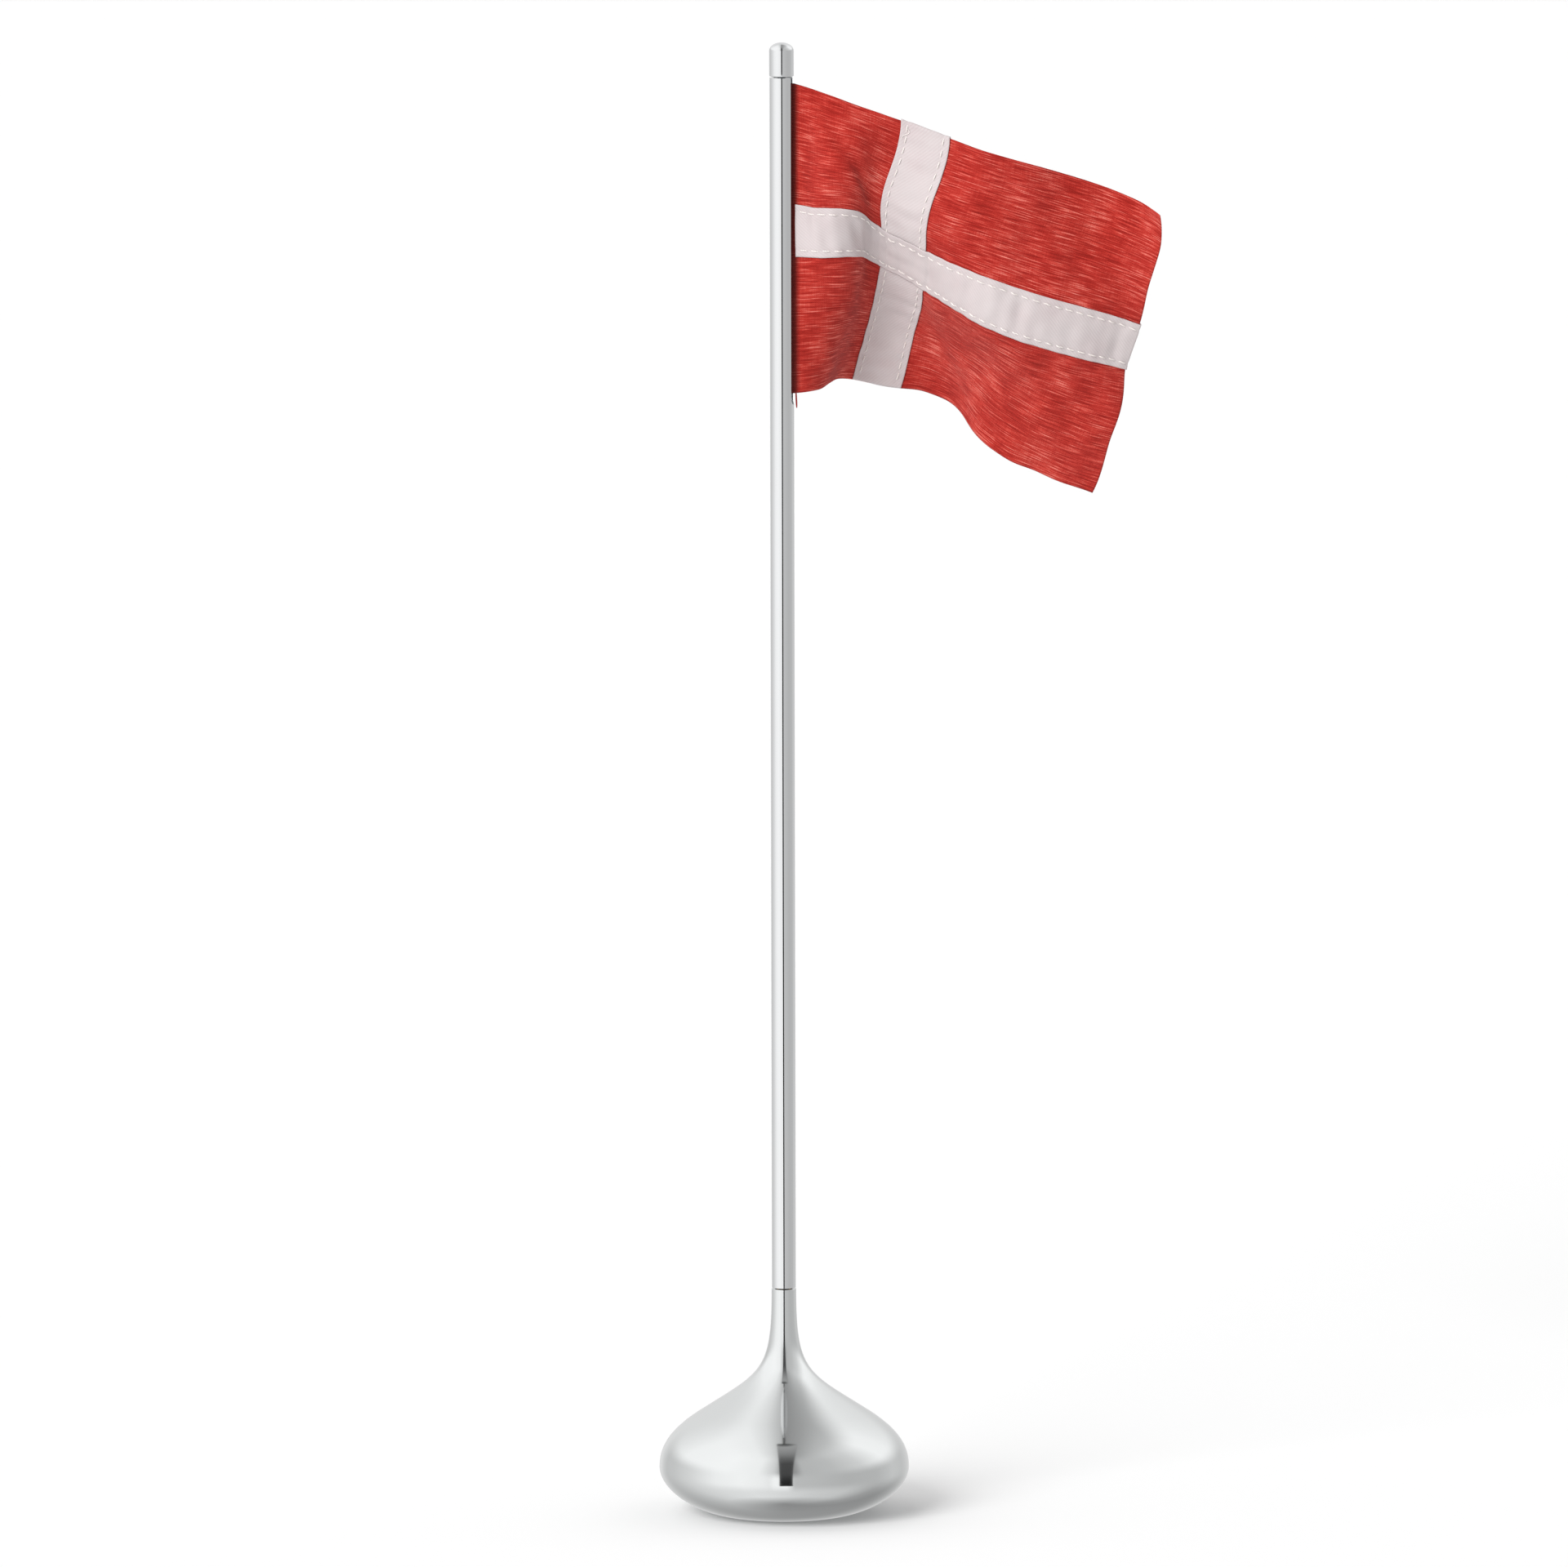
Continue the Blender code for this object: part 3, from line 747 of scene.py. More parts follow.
@dataclass
class DomedFinial:
    """The cap on the pole's top. Sizes are in millimetres."""

    radius: float = 2.90
    bottom: float = 342.05
    top: float = 350.0
    dome: float = 1.95
    hole: float = 1.20
    hole_top: float = 347.5

    def build(self, chrome: Material) -> None:
        """Turn the cap: its rod's hole, its side, and a quarter ellipse for its dome."""
        shoulder = self.top - self.dome
        side = [
            (0.0, self.hole_top, 0.0),
            (self.hole, self.hole_top, 0.0),
            (self.hole, self.bottom, 0.1),
            (self.radius, self.bottom, 0.22),
            (self.radius, shoulder - 1.0, 0.0),
        ]
        turn = np.linspace(0.0, math.pi / 2, 33)
        height = shoulder + self.dome * np.sin(turn)
        dome = np.stack((self.radius * np.cos(turn), height), axis=-1) * MM
        dome[-1, 0] = 0.0
        cap = turned_object("polished_finial", np.concatenate((rounded(side), dome)), chrome, 160)
        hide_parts("finial_cap")
        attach(cap, "finial")
        log.info("polished_finial built")


# ---------------------------------------------------------------- flag


@dataclass
class ClothForm:
    """How the flag hangs. Lengths are in millimetres and angles in degrees.

    u runs along the flag from the pole and v down from its top edge. Each thread of the weave
    keeps its length: it is followed from the slot in short steps, each of which heads and
    droops as the two tables say. The tables are the rounded result of a fit to the outlines of
    the flag and its ribbons.
    """

    hoist: float = 73.2
    fly: float = 94.7
    top: float = 340.4
    start_radius: float = 2.95
    slot_turn: float = -8.0
    stations: tuple[float, ...] = (0, 5, 12, 20, 30, 42, 58, 76, 94.7)
    thread_rows: tuple[float, ...] = (0, 20, 40, 57, 73.2)
    heading: tuple[tuple[float, ...], ...] = (
        (-9, -17, -12, -2, -7, -19, 17, 6, -53),
        (-23, -55, -12, 48, -9, -20, 6, 11, -2),
        (-12, -22, 26, 68, -3, -42, -13, 15, 28),
        (-7, 13, 47, 77, 23, -30, -27, -7, 8),
        (-1, 43, 75, 70, 24, -2, -45, -6, -2),
    )
    droop: tuple[tuple[float, ...], ...] = (
        (15, 17, 19, 19, 20, 18, 16, 19, 27),
        (7, 6, 5, 29, 27, 17, 19, 17, 23),
        (1, 0, -1, 14, 26, 25, 24, 16, 15),
        (-2, -3, -2, 4, 11, 18, 35, 25, 15),
        (-4, -5, -8, 1, 13, 7, 42, 24, 19),
    )
    ribbon_width: float = 12.4
    across_ribbon_v: float = 28.5
    down_ribbon_u: float = 27.0
    spacing: float = 0.25
    # The pulled fold: how far it runs along and down, its height, and its widths.
    fold_run: Span = (26.0, 30.0)
    fold_height: float = 1.15
    fold_rise: float = 2.4
    fold_width: float = 3.0
    # Each wrinkle's length and height.
    wrinkles: Table = ((19.0, 0.16), (13.0, 0.12), (9.5, 0.075), (7.0, 0.05), (5.2, 0.03))
    # The puckers' heights beside the across and the down ribbon, and how far they reach.
    pucker_across: float = 0.06
    pucker_down: float = 0.05
    pucker_reach: float = 3.0
    points: np.ndarray = field(init=False)
    normals: np.ndarray = field(init=False)

    def __post_init__(self) -> None:
        """Work out the cloth's middle surface and its normals on a fine grid."""
        self.rows = np.linspace(0.0, self.hoist, int(self.hoist / self.spacing) + 1)
        self.columns = np.linspace(0.0, self.fly, int(self.fly / self.spacing) + 1)
        smooth = self.follow_threads()
        self.points = smooth + self.face(smooth) * self.creases()[..., None]
        self.normals = self.face(self.points)

    @staticmethod
    def smooth_weights(knots: np.ndarray, at: np.ndarray) -> np.ndarray:
        """Weigh values at knots so that they make a smooth curve.

        Each stretch is a cubic that leaves both of its knots with their neighbours' slope.

        Args:
            knots: Where the values are known.
            at: Where the curve is wanted.

        Returns:
            Matrix that takes the known values to the wanted ones.
        """
        value = np.eye(len(knots))
        slope = np.gradient(value, knots, axis=0)
        low = np.clip(np.searchsorted(knots, at, side="right") - 1, 0, len(knots) - 2)
        span = (knots[low + 1] - knots[low])[:, None]
        t = (at - knots[low])[:, None] / span
        near = (1 + 2 * t) * (1 - t) ** 2 * value[low] + t * (1 - t) ** 2 * span * slope[low]
        far = t**2 * (3 - 2 * t) * value[low + 1] + t**2 * (t - 1) * span * slope[low + 1]
        return near + far

    @staticmethod
    def face(points: np.ndarray) -> np.ndarray:
        """Return unit normals, which point to the flag's back: steps along cross steps down."""
        return unit(np.cross(np.gradient(points, axis=1), np.gradient(points, axis=0)))

    def follow_threads(self) -> np.ndarray:
        """Add up each thread's steps: cos droop cos heading, cos droop sin heading, -sin droop.

        Returns:
            Array [row, column, xyz] in metres.
        """
        by_station = self.smooth_weights(np.array(self.stations), self.columns)
        by_row = self.smooth_weights(np.array(self.thread_rows), self.rows)
        heading = np.radians(by_row @ np.array(self.heading, float) @ by_station.T)
        droop = np.radians(by_row @ np.array(self.droop, float) @ by_station.T)
        level = np.cos(droop)
        step = np.stack((level * np.cos(heading), level * np.sin(heading), -np.sin(droop)), -1)
        middle = (step[:, 1:] + step[:, :-1]) / 2 * (self.columns[1] - self.columns[0])
        path = np.concatenate((np.zeros((len(self.rows), 1, 3)), np.cumsum(middle, axis=1)), axis=1)
        turn = math.radians(self.slot_turn)
        path[..., 0] += self.start_radius * math.cos(turn)
        path[..., 1] += self.start_radius * math.sin(turn)
        path[..., 2] += self.top - self.rows[:, None]
        return path * MM

    def creases(self) -> np.ndarray:
        """Add up what pushes the cloth towards its back: a pulled fold, wrinkles and puckers.

        Returns:
            Array [row, column] in metres.
        """
        down, along = np.meshgrid(self.rows, self.columns, indexing="ij")
        free = smooth_step(along / 8.0)

        # The pull from the top corner at the pole to the crossing of the ribbons raises a fold:
        # distance from its line times the bell of that distance.
        line = np.array(self.fold_run)
        length = math.hypot(*line)
        ahead = line / length
        share = ((along - 1.0) * ahead[0] + (down + 1.0) * ahead[1]) / length
        beside = (along - 1.0) * ahead[1] - (down + 1.0) * ahead[0]
        window = np.sin(np.clip(share, 0.0, 1.0) * math.pi) ** 0.8
        creases = self.fold_height * window * beside / self.fold_rise
        creases = creases * bell(beside, self.fold_width)

        # Soft wrinkles: a few plane waves, none of them regular.
        chance = np.random.default_rng(11)
        for length, size in self.wrinkles:
            lean = chance.uniform(-0.9, 0.9)
            shift = chance.uniform(0.0, math.tau)
            wander = 1.5 * np.sin(down / 9.0 + shift) + np.sin(along / 13.0 + 2 * shift)
            across = along * math.cos(lean) + down * math.sin(lean) + wander
            creases += size * free * np.sin(math.tau * across / length + shift)

        # Puckers where the ribbons' seams gather the cloth, gone a few millimetres away.
        middle_v = self.across_ribbon_v + self.ribbon_width / 2
        middle_u = self.down_ribbon_u + self.ribbon_width / 2
        from_across = np.abs(down - middle_v) - self.ribbon_width / 2
        from_down = np.abs(along - middle_u) - self.ribbon_width / 2
        ripple_u = np.sin(math.tau * along / 4.3 + 1.3 * np.sin(along / 7.0))
        ripple_v = np.sin(math.tau * down / 4.9 + 1.2 * np.sin(down / 6.0))
        for height, ripple, beyond in (
            (self.pucker_across, ripple_u, from_across),
            (self.pucker_down, ripple_v, from_down),
        ):
            near = bell(np.clip(beyond, 0.0, None), self.pucker_reach)
            creases += height * free * ripple * near
        return creases * MM

    def at(self, along: np.ndarray, down: np.ndarray) -> tuple[np.ndarray, np.ndarray]:
        """Read the middle surface between its grid points, in straight proportion.

        Args:
            along: Distances u in millimetres.
            down: Distances v in millimetres, of a shape that fits along.

        Returns:
            The points in metres and the unit normals there.
        """
        along, down = np.broadcast_arrays(along, down)
        x = np.clip(along / self.fly, 0.0, 1.0) * (len(self.columns) - 1)
        y = np.clip(down / self.hoist, 0.0, 1.0) * (len(self.rows) - 1)
        column = np.minimum(x.astype(int), len(self.columns) - 2)
        row = np.minimum(y.astype(int), len(self.rows) - 2)
        right = (x - column)[..., None]
        below = (y - row)[..., None]
        found = []
        for table in (self.points, self.normals):
            upper = table[row, column] * (1 - right) + table[row, column + 1] * right
            lower = table[row + 1, column] * (1 - right) + table[row + 1, column + 1] * right
            found.append(upper * (1 - below) + lower * below)
        return found[0], unit(found[1])


class Way(Enum):
    """Which way a ribbon runs on the flag."""

    ACROSS = "across"
    DOWN = "down"


class Side(Enum):
    """A side of the flag, as the sign of its distance towards the back."""

    FRONT = -1
    BACK = 1


@dataclass
class Ribbon:
    """A ribbon sewn on both sides of the flag and folded round one of its edges.

    Sizes are in millimetres. `away` is the distance from the folded edge, and `over` the
    distance from the ribbon's first edge.
    """

    form: ClothForm
    way: Way
    width: float = 12.4
    thickness: float = 0.16
    lift: float = 0.36
    extra_lift: float = 0.30
    seam_inset: float = 1.6
    stitch_pitch: float = 2.75
    stitch_length: float = 2.15
    stitch_radius: float = 0.17
    stitch_slant: float = 0.16
    stitch_rise: float = 0.20
    stitch_sink: float = 0.05
    crown: float = 0.05
    seam_dip: float = 0.10
    seam_dip_width: float = 0.6
    # Each bulge's length and height.
    bulges: Table = ((4.1, 0.055), (6.3, 0.065), (9.4, 0.06))

    @property
    def reach(self) -> float:
        """How far the ribbon runs on each side, from its folded edge to its other end."""
        return self.form.fly - 0.4 if self.way is Way.ACROSS else self.form.hoist - 0.15

    def place(
        self, away: np.ndarray, over: np.ndarray, turn: np.ndarray, proud: np.ndarray | float = 0.0
    ) -> tuple[np.ndarray, np.ndarray]:
        """Place points on the ribbon.

        A point stands off the cloth's middle by the ribbon's height times the sine of its turn
        along the normal, and times the cosine along the way out of the folded edge.

        Args:
            away: Distances from the folded edge.
            over: Distances from the ribbon's first edge.
            turn: -90 degrees on the front, 90 on the back, and between them in the fold.
            proud: How much further than the ribbon's middle the points stand.

        Returns:
            The points in metres and the directions in which they stand off the cloth.
        """
        if self.way is Way.ACROSS:
            along, down = self.form.fly - away, self.form.across_ribbon_v + over
            inner = self.form.at(self.form.fly - 0.5, down)[0]
            outer = self.form.at(self.form.fly, down)[0]
        else:
            along, down = self.form.down_ribbon_u + over, away
            inner = self.form.at(along, 0.5)[0]
            outer = self.form.at(along, 0.0)[0]
        points, normals = self.form.at(along, down)
        out = unit(outer - inner)
        angle = np.radians(turn)[..., None]
        stand = np.sin(angle) * normals + np.cos(angle) * out
        height = self.height(away, over, turn) + proud
        return points + stand * height[..., None] * MM, stand

    def height(self, away: np.ndarray, over: np.ndarray, turn: np.ndarray) -> np.ndarray:
        """Work out how far the ribbon's middle stands off the cloth's middle.

        It is the ribbon's lift, more where it passes over the other ribbon, plus soft bulges
        between its seams, less a dip along each seam that is deepest where the needle went in.

        Args:
            away: Distances from the folded edge.
            over: Distances from the ribbon's first edge.
            turn: The side, as in place().

        Returns:
            Heights in millimetres.
        """
        height = self.lift + 0.0 * (away + over)
        if self.way is Way.ACROSS:
            middle = self.form.fly - self.form.down_ribbon_u - self.width / 2
            beyond = np.abs(away - middle) - self.width / 2
            height = height + self.extra_lift * (1 - smooth_step((beyond - 0.1) / 0.9))
        near_pole = 1.0 + 1.2 * smooth_step((away - 70.0) / 10.0) * (self.way is Way.ACROSS)
        phase = np.where(turn > 0, 2.1, 0.0)
        bulge = np.zeros_like(height)
        for length, size in self.bulges:
            drift = 0.8 * np.sin(over / 5.0 + length)
            bulge = bulge + size * np.sin(math.tau * away / length + drift + phase + length)
        free = np.clip(np.sin(math.pi * over / self.width), 0.0, 1.0) ** 0.7
        height = height + bulge * free * near_pole + self.crown * free
        for seam in (self.seam_inset, self.width - self.seam_inset):
            needle = 0.6 + 0.4 * np.cos(math.tau * away / self.stitch_pitch)
            height = height - self.seam_dip * needle * bell(over - seam, self.seam_dip_width)
        return height

    def build(self, material: Material, node: str) -> Object:
        """Lay the ribbon down the front, round the fold and along the back.

        Args:
            material: Its finish.
            node: The CAD node that it replaces.

        Returns:
            The ribbon.
        """
        flat = np.linspace(self.reach, 0.0, int(self.reach / 0.4))
        fold = np.linspace(-90.0, 90.0, 13)
        away = np.concatenate((flat, np.zeros(len(fold) - 2), flat[::-1]))
        turn = np.concatenate((np.full(len(flat), -90.0), fold[1:-1], np.full(len(flat), 90.0)))
        over = np.linspace(0.0, self.width, 41)
        away_grid, over_grid = np.meshgrid(away, over, indexing="ij")
        turn_grid = np.broadcast_to(turn[:, None], away_grid.shape)
        points, _ = self.place(away_grid, over_grid, turn_grid)
        bend = math.pi / 180 * self.lift
        run = np.where(turn < 0, self.reach - away, self.reach + away) + (turn + 90) * bend
        uv = np.stack(np.broadcast_arrays(run[:, None], over), axis=-1)
        ribbon = grid_object(f"ribbon_{self.way.value}", points, material, uv=uv, closed=False)
        thicken(ribbon, self.thickness)
        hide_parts(node)
        return ribbon

    def sew(self, material: Material) -> list[Object]:
        """Make both seams, each with a row of stitches on the front and one on the back.

        A stitch is a short thread that leans a little and rises along half a sine between the
        two holes that it goes into.

        Args:
            material: The thread's finish.

        Returns:
            One object for each seam.
        """
        count = int((self.reach - 0.5) / self.stitch_pitch)
        first = 0.3 + np.arange(count) * self.stitch_pitch
        share = np.linspace(0.0, 1.0, 7)
        seams = []
        for number, inset in enumerate((self.seam_inset, self.width - self.seam_inset)):
            paths, ups = [], []
            for side in Side:
                away = first[:, None] + share * self.stitch_length
                over = inset + self.stitch_slant * (share - 0.5) * side.value + 0.0 * away
                arch = self.stitch_rise * np.sin(math.pi * share)
                proud = self.thickness / 2 - self.stitch_sink + arch + 0.0 * away
                turn = np.full(away.shape, 90.0 * side.value)
                points, stand = self.place(away, over, turn, proud)
                paths.append(points)
                ups.append(stand)
            name = f"seam_{self.way.value}_{number + 1}"
            radius = self.stitch_radius * MM
            seams.append(tubes(name, np.concatenate(paths), np.concatenate(ups), radius, material))
        return seams


@dataclass
class SewnFlag:
    """The red cloth with its hem, its two ribbons, their seams and two loose thread ends."""

    form: ClothForm
    thickness: float = 0.20
    hem_radius: float = 1.45

    def hem_plan(self) -> np.ndarray:
        """Lead the hem round the rod on a circle, and out of the slot on a Bezier curve.

        Returns:
            Array [point, (x, y)] in metres.
        """
        turn = np.radians(np.linspace(45.0, 300.0, 40))
        loop = self.hem_radius * np.stack((np.cos(turn), np.sin(turn)), axis=-1)
        leaving = np.array((-math.sin(turn[-1]), math.cos(turn[-1])))
        mouth = np.array((self.form.start_radius, 0.0))
        ahead = np.array((1.0, 0.0))
        out = bezier(loop[-1], loop[-1] + 0.8 * leaving, mouth - 0.9 * ahead, mouth, 9)
        plan = np.concatenate((loop, out[:-1]))
        slot = math.radians(self.form.slot_turn)
        spin = np.array(((math.cos(slot), -math.sin(slot)), (math.sin(slot), math.cos(slot))))
        return plan @ spin.T * MM

    def build_cloth(self, material: Material) -> tuple[Object, float]:
        """Join the hem to the hanging cloth, and give both their thickness.

        Args:
            material: The cloth's finish.

        Returns:
            The cloth and its hem's length in millimetres.
        """
        plan = self.hem_plan()
        down = np.linspace(0.0, self.form.hoist, 147)
        along = np.linspace(0.0, self.form.fly, 191)
        field_points, _ = self.form.at(along[None, :], down[:, None])
        hem = np.zeros((len(down), len(plan), 3))
        hem[..., :2] = plan
        hem[..., 2] = (self.form.top - down[:, None]) * MM
        steps = np.linalg.norm(np.diff(plan, axis=0), axis=1) / MM
        hem_length = float(steps.sum() + steps[-1])
        before = np.concatenate(((0.0,), np.cumsum(steps))) - hem_length
        run = np.concatenate((before, along))
        uv = np.stack(np.broadcast_arrays(run[None, :], down[:, None]), axis=-1)
        points = np.concatenate((hem, field_points), axis=1)
        cloth = grid_object("red_cloth", points, material, uv=uv, closed=False)
        thicken(cloth, self.thickness)
        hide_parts("flag_cloth")
        return cloth, hem_length

    def loose_ends(
        self, red: Material, white: Material, ribbon: Ribbon
    ) -> list[Object]:
        """Leave two thread ends: a red one under the hoist and a white curl on the ribbon.

        Args:
            red: Finish of the hem's thread.
            white: Finish of the ribbons' thread.
            ribbon: The ribbon that the white end lies on.

        Returns:
            The two ends.
        """
        share = np.linspace(0.0, 1.0, 14)
        corner, _ = self.form.at(np.array(0.35), np.array(self.form.hoist))
        sway = np.stack((0.2 * share, -0.3 * share, 0.4 - 4.0 * share), axis=-1)
        up = np.broadcast_to((0.0, 1.0, 0.0), (1, len(share), 3))
        tail = tubes("red_thread_end", (corner + sway * MM)[None], up, 0.20 * MM, red)
        away = 1.2 + 3.0 * share
        over = 1.5 + 0.8 * np.sin(5.5 * share)
        points, stand = ribbon.place(away, over, np.full(share.shape, -90.0), 0.2 + 0.0 * share)
        curl = tubes("white_thread_end", points[None], stand[None], 0.11 * MM, white)
        return [tail, curl]

    def build(
        self,
        cotton: Material,
        twill: Material,
        white_thread: Material,
        red_thread: Material,
    ) -> None:
        """Sew the flag together and hang it on the flag's body.

        Args:
            cotton: The cloth's finish.
            twill: The ribbons' finish.
            white_thread: The seams' finish.
            red_thread: The hem thread's finish.
        """
        cloth, hem_length = self.build_cloth(cotton)
        across = Ribbon(self.form, Way.ACROSS)
        down = Ribbon(self.form, Way.DOWN)
        across_strip = across.build(twill, "across_ribbon")
        down_strip = down.build(twill, "down_ribbon")
        across_seams = across.sew(white_thread)
        down_seams = down.sew(white_thread)
        ends = self.loose_ends(red_thread, white_thread, down)
        for piece in [cloth, across_strip, down_strip, *across_seams, *down_seams, *ends]:
            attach(piece, "flag")
            # The chrome doesn't mirror the flag.
            piece.visible_glossy = False


# ---------------------------------------------------------------- studio


@dataclass
class Studio:
    """A pale floor, one soft key light and a dome that the chrome mirrors. Metres.

    The dome is a pale tent, brighter on the left than on the right, with a narrow dark gap
    behind the viewer, which shows as the dark line down the pole. Each ring of the dome is a
    table of (azimuth in degrees, brightness): 0 is behind the viewer and 90 on the right.
    The brightnesses started from levels measured on real chrome and were then adjusted.
    """

    floor_size: float = 9.0
    key_strength: float = 2.6
    key_angle: float = 32.0
    key_shines: tuple[float, float, float] = (0.50, 0.74, -0.45)
    camera_place: tuple[float, float, float] = (0.00027, -4.0, 0.66937)
    camera_pitch: float = -7.053
    camera_roll: float = -0.115
    focal_length: float = 391.6
    brightest: float = 2.0
    dome_strength: float = 0.78
    # The gap's middle, half width and blurred edge are sideways parts of the direction.
    gap_middle: float = 0.03
    gap_half: float = 0.105
    gap_blur: float = 0.006
    # Its lower edge is a span of heights in degrees, its upper one of the part behind.
    gap_bottom: Span = (-11.2, -10.4)
    gap_top: Span = (-0.06, -0.08)
    # The heights, in degrees, between which each part of the dome comes in.
    high_rise: Span = (4.0, 24.0)
    cap_rise: Span = (46.0, 68.0)
    low_fall: Span = (-5.0, -46.0)
    nadir_fall: Span = (-62.0, -90.0)
    nadir_level: float = 0.40

    # Just below the horizon, where the pole looks.
    ring_level: Table = (
        (-180, 0.95), (-160, 1.05), (-140, 0.82), (-123, 0.87), (-96, 1.05), (-66, 1.35),
        (-40, 1.42), (-20, 1.34), (-14, 1.27), (-9, 1.42), (3, 1.40), (10, 0.78), (27, 0.76),
        (60, 0.69), (95, 0.72), (120, 0.87), (140, 0.81), (160, 0.90), (180, 0.95),
    )
    # Halfway up.
    ring_high: Table = (
        (-180, 1.00), (-150, 1.10), (-115, 1.40), (-60, 1.46), (-25, 1.36), (-9, 0.95),
        (0, 0.30), (12, 0.50), (18, 0.72), (50, 0.78), (80, 0.98), (112, 1.42), (130, 1.38),
        (160, 1.10), (180, 1.00),
    )
    # Below, where the foot's belly looks.
    ring_low: Table = (
        (-180, 0.46), (-160, 0.56), (-130, 0.76), (-100, 0.98), (-70, 1.10), (-35, 1.16),
        (-10, 1.10), (30, 0.94), (70, 0.86), (90, 0.70), (110, 0.52), (135, 0.42), (180, 0.46),
    )
    # Overhead, by the direction's sideways part, from the left (-1) to the right (1).
    overhead: Table = (
        (-1.0, 1.20), (-0.60, 1.43), (-0.30, 1.34), (-0.16, 1.10), (-0.05, 0.80), (-0.02, 0.70),
        (-0.008, 0.10), (0.006, 0.10), (0.014, 0.42), (0.15, 0.53), (0.30, 0.70), (0.60, 0.98),
        (1.0, 1.10),
    )
    # In the gap, by height from the horizon (0) to straight up (1).
    gap_depth: Table = (
        (0.0, 0.03), (0.20, 0.09), (0.52, 0.10), (0.65, 0.19), (0.78, 0.36), (0.90, 0.48),
        (0.94, 0.10),
    )

    def grey(self, level: float) -> Colour:
        """Return a brightness as a ramp's colour, as a share of the brightest it can be."""
        value = level / self.brightest
        return value, value, value, 1.0

    def stops(self, table: Table, low: float, high: float) -> Stops:
        """Turn a table into ramp stops.

        Args:
            table: Pairs of place and brightness.
            low: The place that is the ramp's start.
            high: The place that is its end.

        Returns:
            The ramp's stops.
        """
        return [((place - low) / (high - low), self.grey(level)) for place, level in table]

    def build_dome(self) -> None:
        """Make the dome as a function of direction: rings that run into one another with
        height, a cap overhead, and the gap behind the viewer cut into them."""
        world = bpy.data.worlds.new("studio_dome")
        bpy.context.scene.world = world
        world.use_nodes = True
        tree = world.node_tree
        tree.nodes.clear()
        towards = add_node(tree, "NewGeometry").outputs["Position"]
        right, behind, up = add_node(tree, "SeparateXYZ", {0: towards}).outputs
        ahead = calculate(tree, "MULTIPLY", behind, -1.0)
        azimuth = calculate(tree, "ARCTAN2", right, ahead)
        degrees = calculate(tree, "DEGREES", azimuth)
        rise = calculate(tree, "ARCSINE", up)
        height = calculate(tree, "DEGREES", rise)
        turn = remap(tree, degrees, (-180.0, 180.0))
        aside = remap(tree, right, (-1.0, 1.0))

        level = add_node(tree, "ValToRGB", {0: turn}, self.stops(self.ring_level, -180, 180))
        high = add_node(tree, "ValToRGB", {0: turn}, self.stops(self.ring_high, -180, 180))
        low = add_node(tree, "ValToRGB", {0: turn}, self.stops(self.ring_low, -180, 180))
        cap = add_node(tree, "ValToRGB", {0: aside}, self.stops(self.overhead, -1, 1))
        whole = level.outputs[0]
        for layer, heights in ((high, self.high_rise), (cap, self.cap_rise), (low, self.low_fall)):
            whole = blend(tree, remap(tree, height, heights, form="SMOOTHSTEP"), whole, layer)
        nadir = remap(tree, height, self.nadir_fall)
        whole = blend(tree, nadir, whole, self.grey(self.nadir_level))

        # The gap is a rectangle behind the viewer, from near the floor to almost overhead.
        off = calculate(tree, "SUBTRACT", right, self.gap_middle)
        size = calculate(tree, "ABSOLUTE", off)
        edges = (self.gap_half + self.gap_blur, self.gap_half - self.gap_blur)
        inside = remap(tree, size, edges)
        bottom = remap(tree, height, self.gap_bottom)
        top = remap(tree, behind, self.gap_top)
        span = calculate(tree, "MULTIPLY", top, bottom)
        mask = calculate(tree, "MULTIPLY", inside, span)
        tall = remap(tree, height, (0.0, 90.0))
        gap = add_node(tree, "ValToRGB", {0: tall}, self.stops(self.gap_depth, 0, 1))
        whole = blend(tree, mask, whole, gap)
        light = {"Color": whole, "Strength": self.brightest * self.dome_strength}
        add_node(tree, "OutputWorld", {"Surface": add_node(tree, "Background", light)})

    def build(self, paper: Material) -> None:
        """Lay the floor, hang the key light, make the dome and place the camera.

        Args:
            paper: The floor's finish.
        """
        side = np.array((-self.floor_size, self.floor_size))
        x, y = np.meshgrid(side, -side)
        floor = grid_object("floor", np.stack((x, y, 0.0 * x), axis=-1), paper, closed=False)
        # The chrome mirrors the dome's lower half instead of the floor.
        floor.visible_glossy = False

        light = bpy.data.lights.new("key", "SUN")
        light.energy = self.key_strength
        light.angle = math.radians(self.key_angle)
        key = add_object("key", light)
        key.rotation_euler = Vector(self.key_shines).to_track_quat("-Z", "Y").to_euler()
        key.visible_glossy = False
        self.build_dome()

        lens = bpy.data.cameras.new("camera")
        lens.sensor_fit = "HORIZONTAL"
        lens.sensor_width = 36.0
        lens.lens = self.focal_length
        lens.clip_end = 50.0
        camera = add_object("camera", lens)
        tilt = Matrix.Rotation(math.radians(90.0 + self.camera_pitch), 4, "X")
        roll = Matrix.Rotation(math.radians(self.camera_roll), 4, "Z")
        camera.matrix_world = Matrix.Translation(self.camera_place) @ tilt @ roll
        bpy.context.scene.camera = camera
        bpy.context.scene.view_settings.view_transform = "Standard"
        log.info("studio built")


# ---------------------------------------------------------------- whole stand


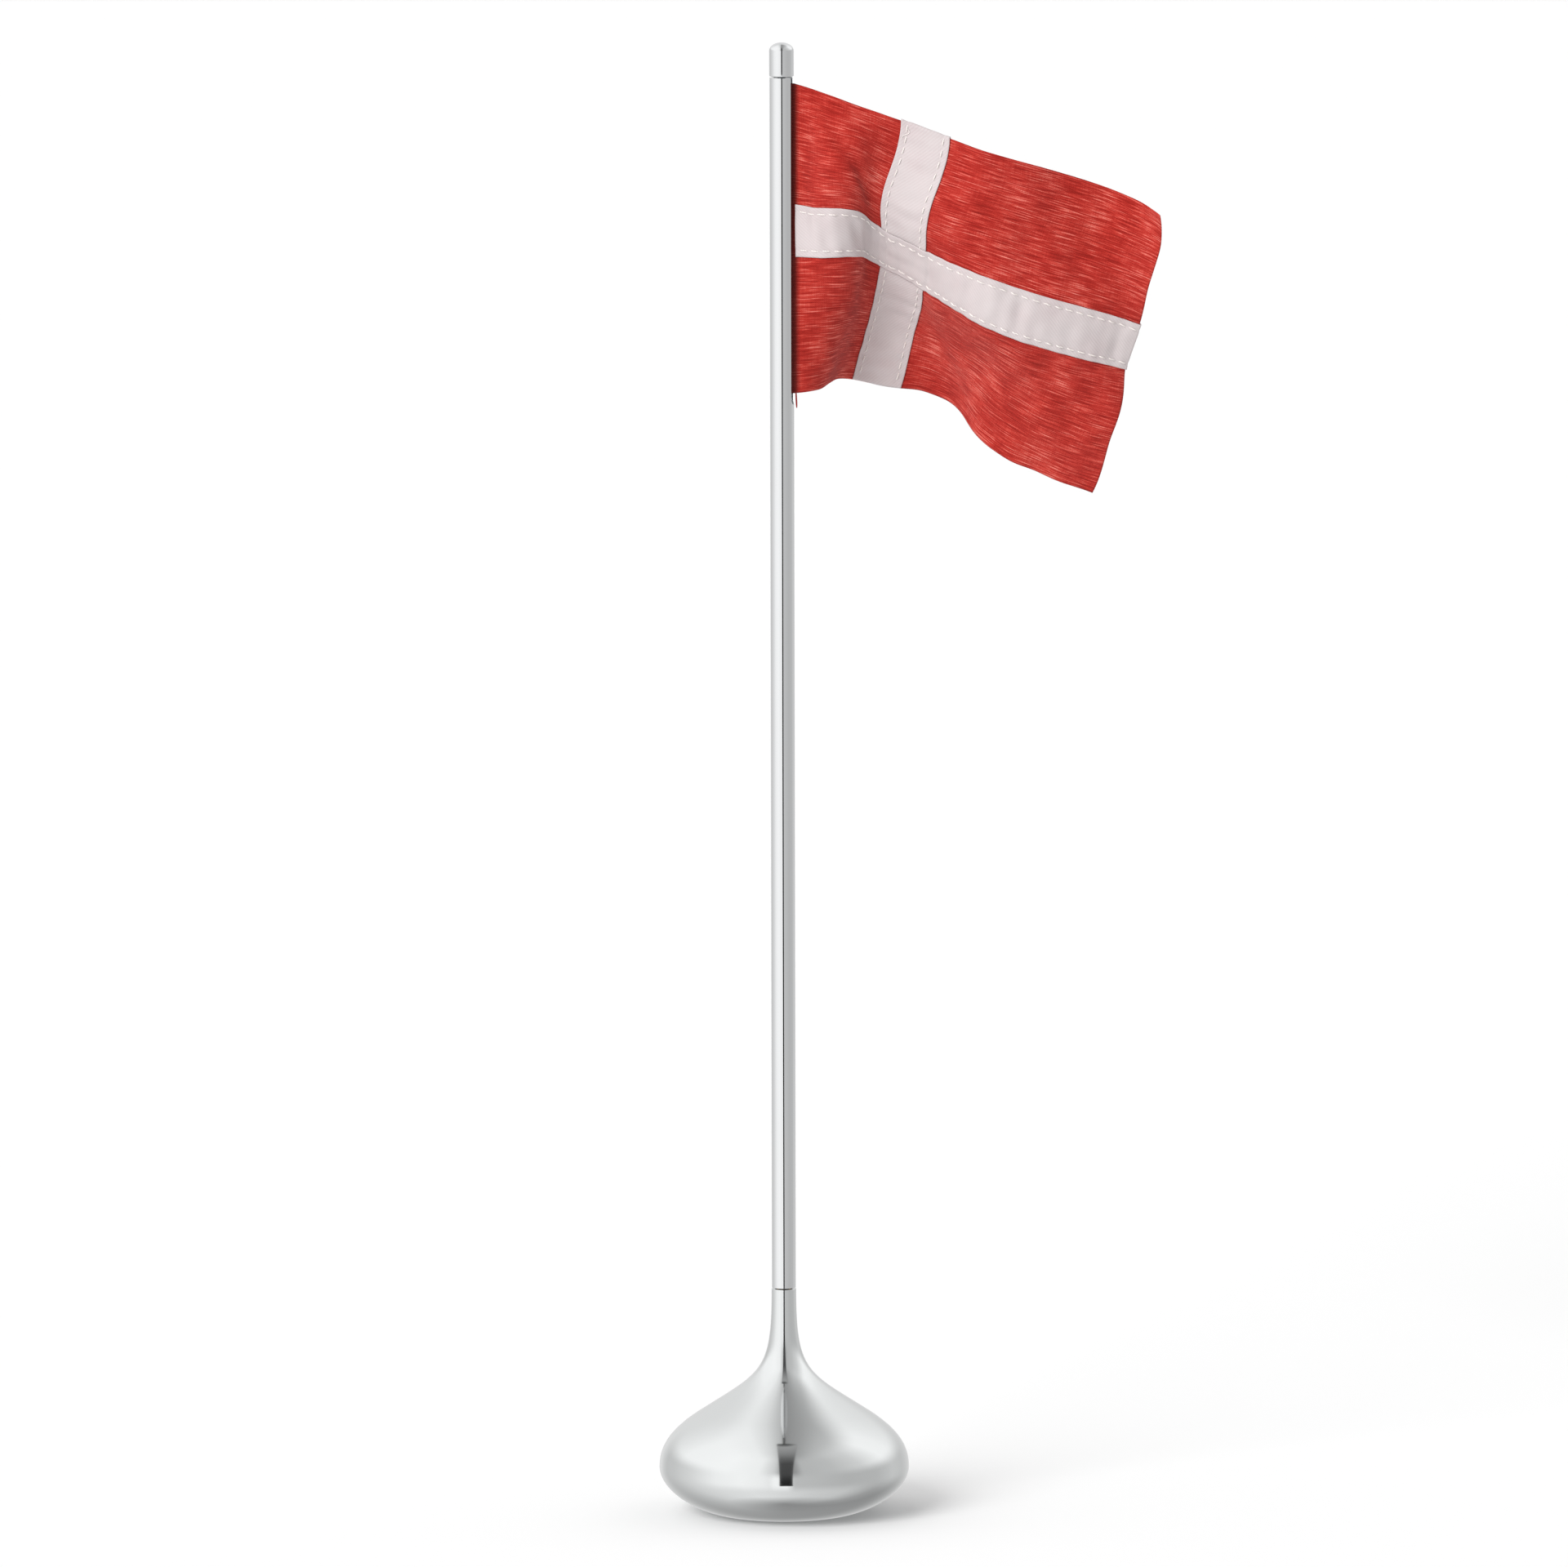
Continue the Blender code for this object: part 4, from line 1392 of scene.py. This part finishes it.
def dress_hidden_nodes() -> None:
    """Give the CAD nodes inside the stand the finishes that their makers give them."""
    zinc = MachinedMetal("zinc_plated_steel_turned", "#A9ADB0", 0.32, 1.0, shade="#8E9396")
    iron = MachinedMetal(
        "cast_iron_oiled", "#4A4A4C", 0.62, 1.0, (1.3, 1.3, 1.3), 0.10, "#2E2E30"
    )
    brass = MachinedMetal("brass_turned", "#C9A24E", 0.28, 1.0, shade="#A98338")
    nylon = MachinedMetal(
        "nylon_moulded", "#E8E5DD", 0.45, 0.0, (0.8, 0.8, 0.8), 0.01, "#DDD9CF"
    )
    finishes = {
        zinc: ("finial_rod", "ballast_washer", "ballast_screw", "bottom_cover"),
        iron: ("ballast_weight",),
        brass: ("threaded_stud",),
        nylon: ("rod_guide",),
    }
    for finish, names in finishes.items():
        material = finish.build()
        for name in names:
            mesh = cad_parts[name].data
            mesh.materials.clear()
            mesh.materials.append(material)
            log.info("%s finished as %s", name, finish.name)


def main() -> None:
    """Build the stand from the foot up, then its flag, then the studio round it."""
    logging.basicConfig(level=logging.INFO, format="%(message)s")
    # Polished plating on a cast foot keeps a little more haze than on a drawn tube.
    cast_chrome = ChromePlate("chrome_plate_on_polished_casting", "#E5E7E7", 0.07, 1.0).build()
    tube_chrome = ChromePlate("chrome_plate_on_drawn_tube", "#E8E9EA", 0.04, 1.0).build()
    felt = PressedFelt("wool_felt_pressed", "#26262A", 0.95).build()
    cotton = SlubCotton("cotton_plain_woven", "#9E221B", 0.85).build()
    twill = TwillRibbon("polyester_ribbon_twill_woven", "#C1B8B8", 0.5).build()
    white_thread = SpunThread("polyester_thread_spun_white", "#E8E0DC", 0.45).build()
    red_thread = SpunThread("polyester_thread_spun_red", "#8E1A16", 0.5).build()
    paper = StudioPaper("paper_matt_white", "#F0F0F0", 0.9).build()

    ChromedFoot().build(cast_chrome, felt)
    SlottedPole().build(tube_chrome)
    DomedFinial().build(tube_chrome)
    dress_hidden_nodes()
    SewnFlag(ClothForm()).build(cotton, twill, white_thread, red_thread)
    Studio().build(paper)


if __name__ == "__main__":
    main()
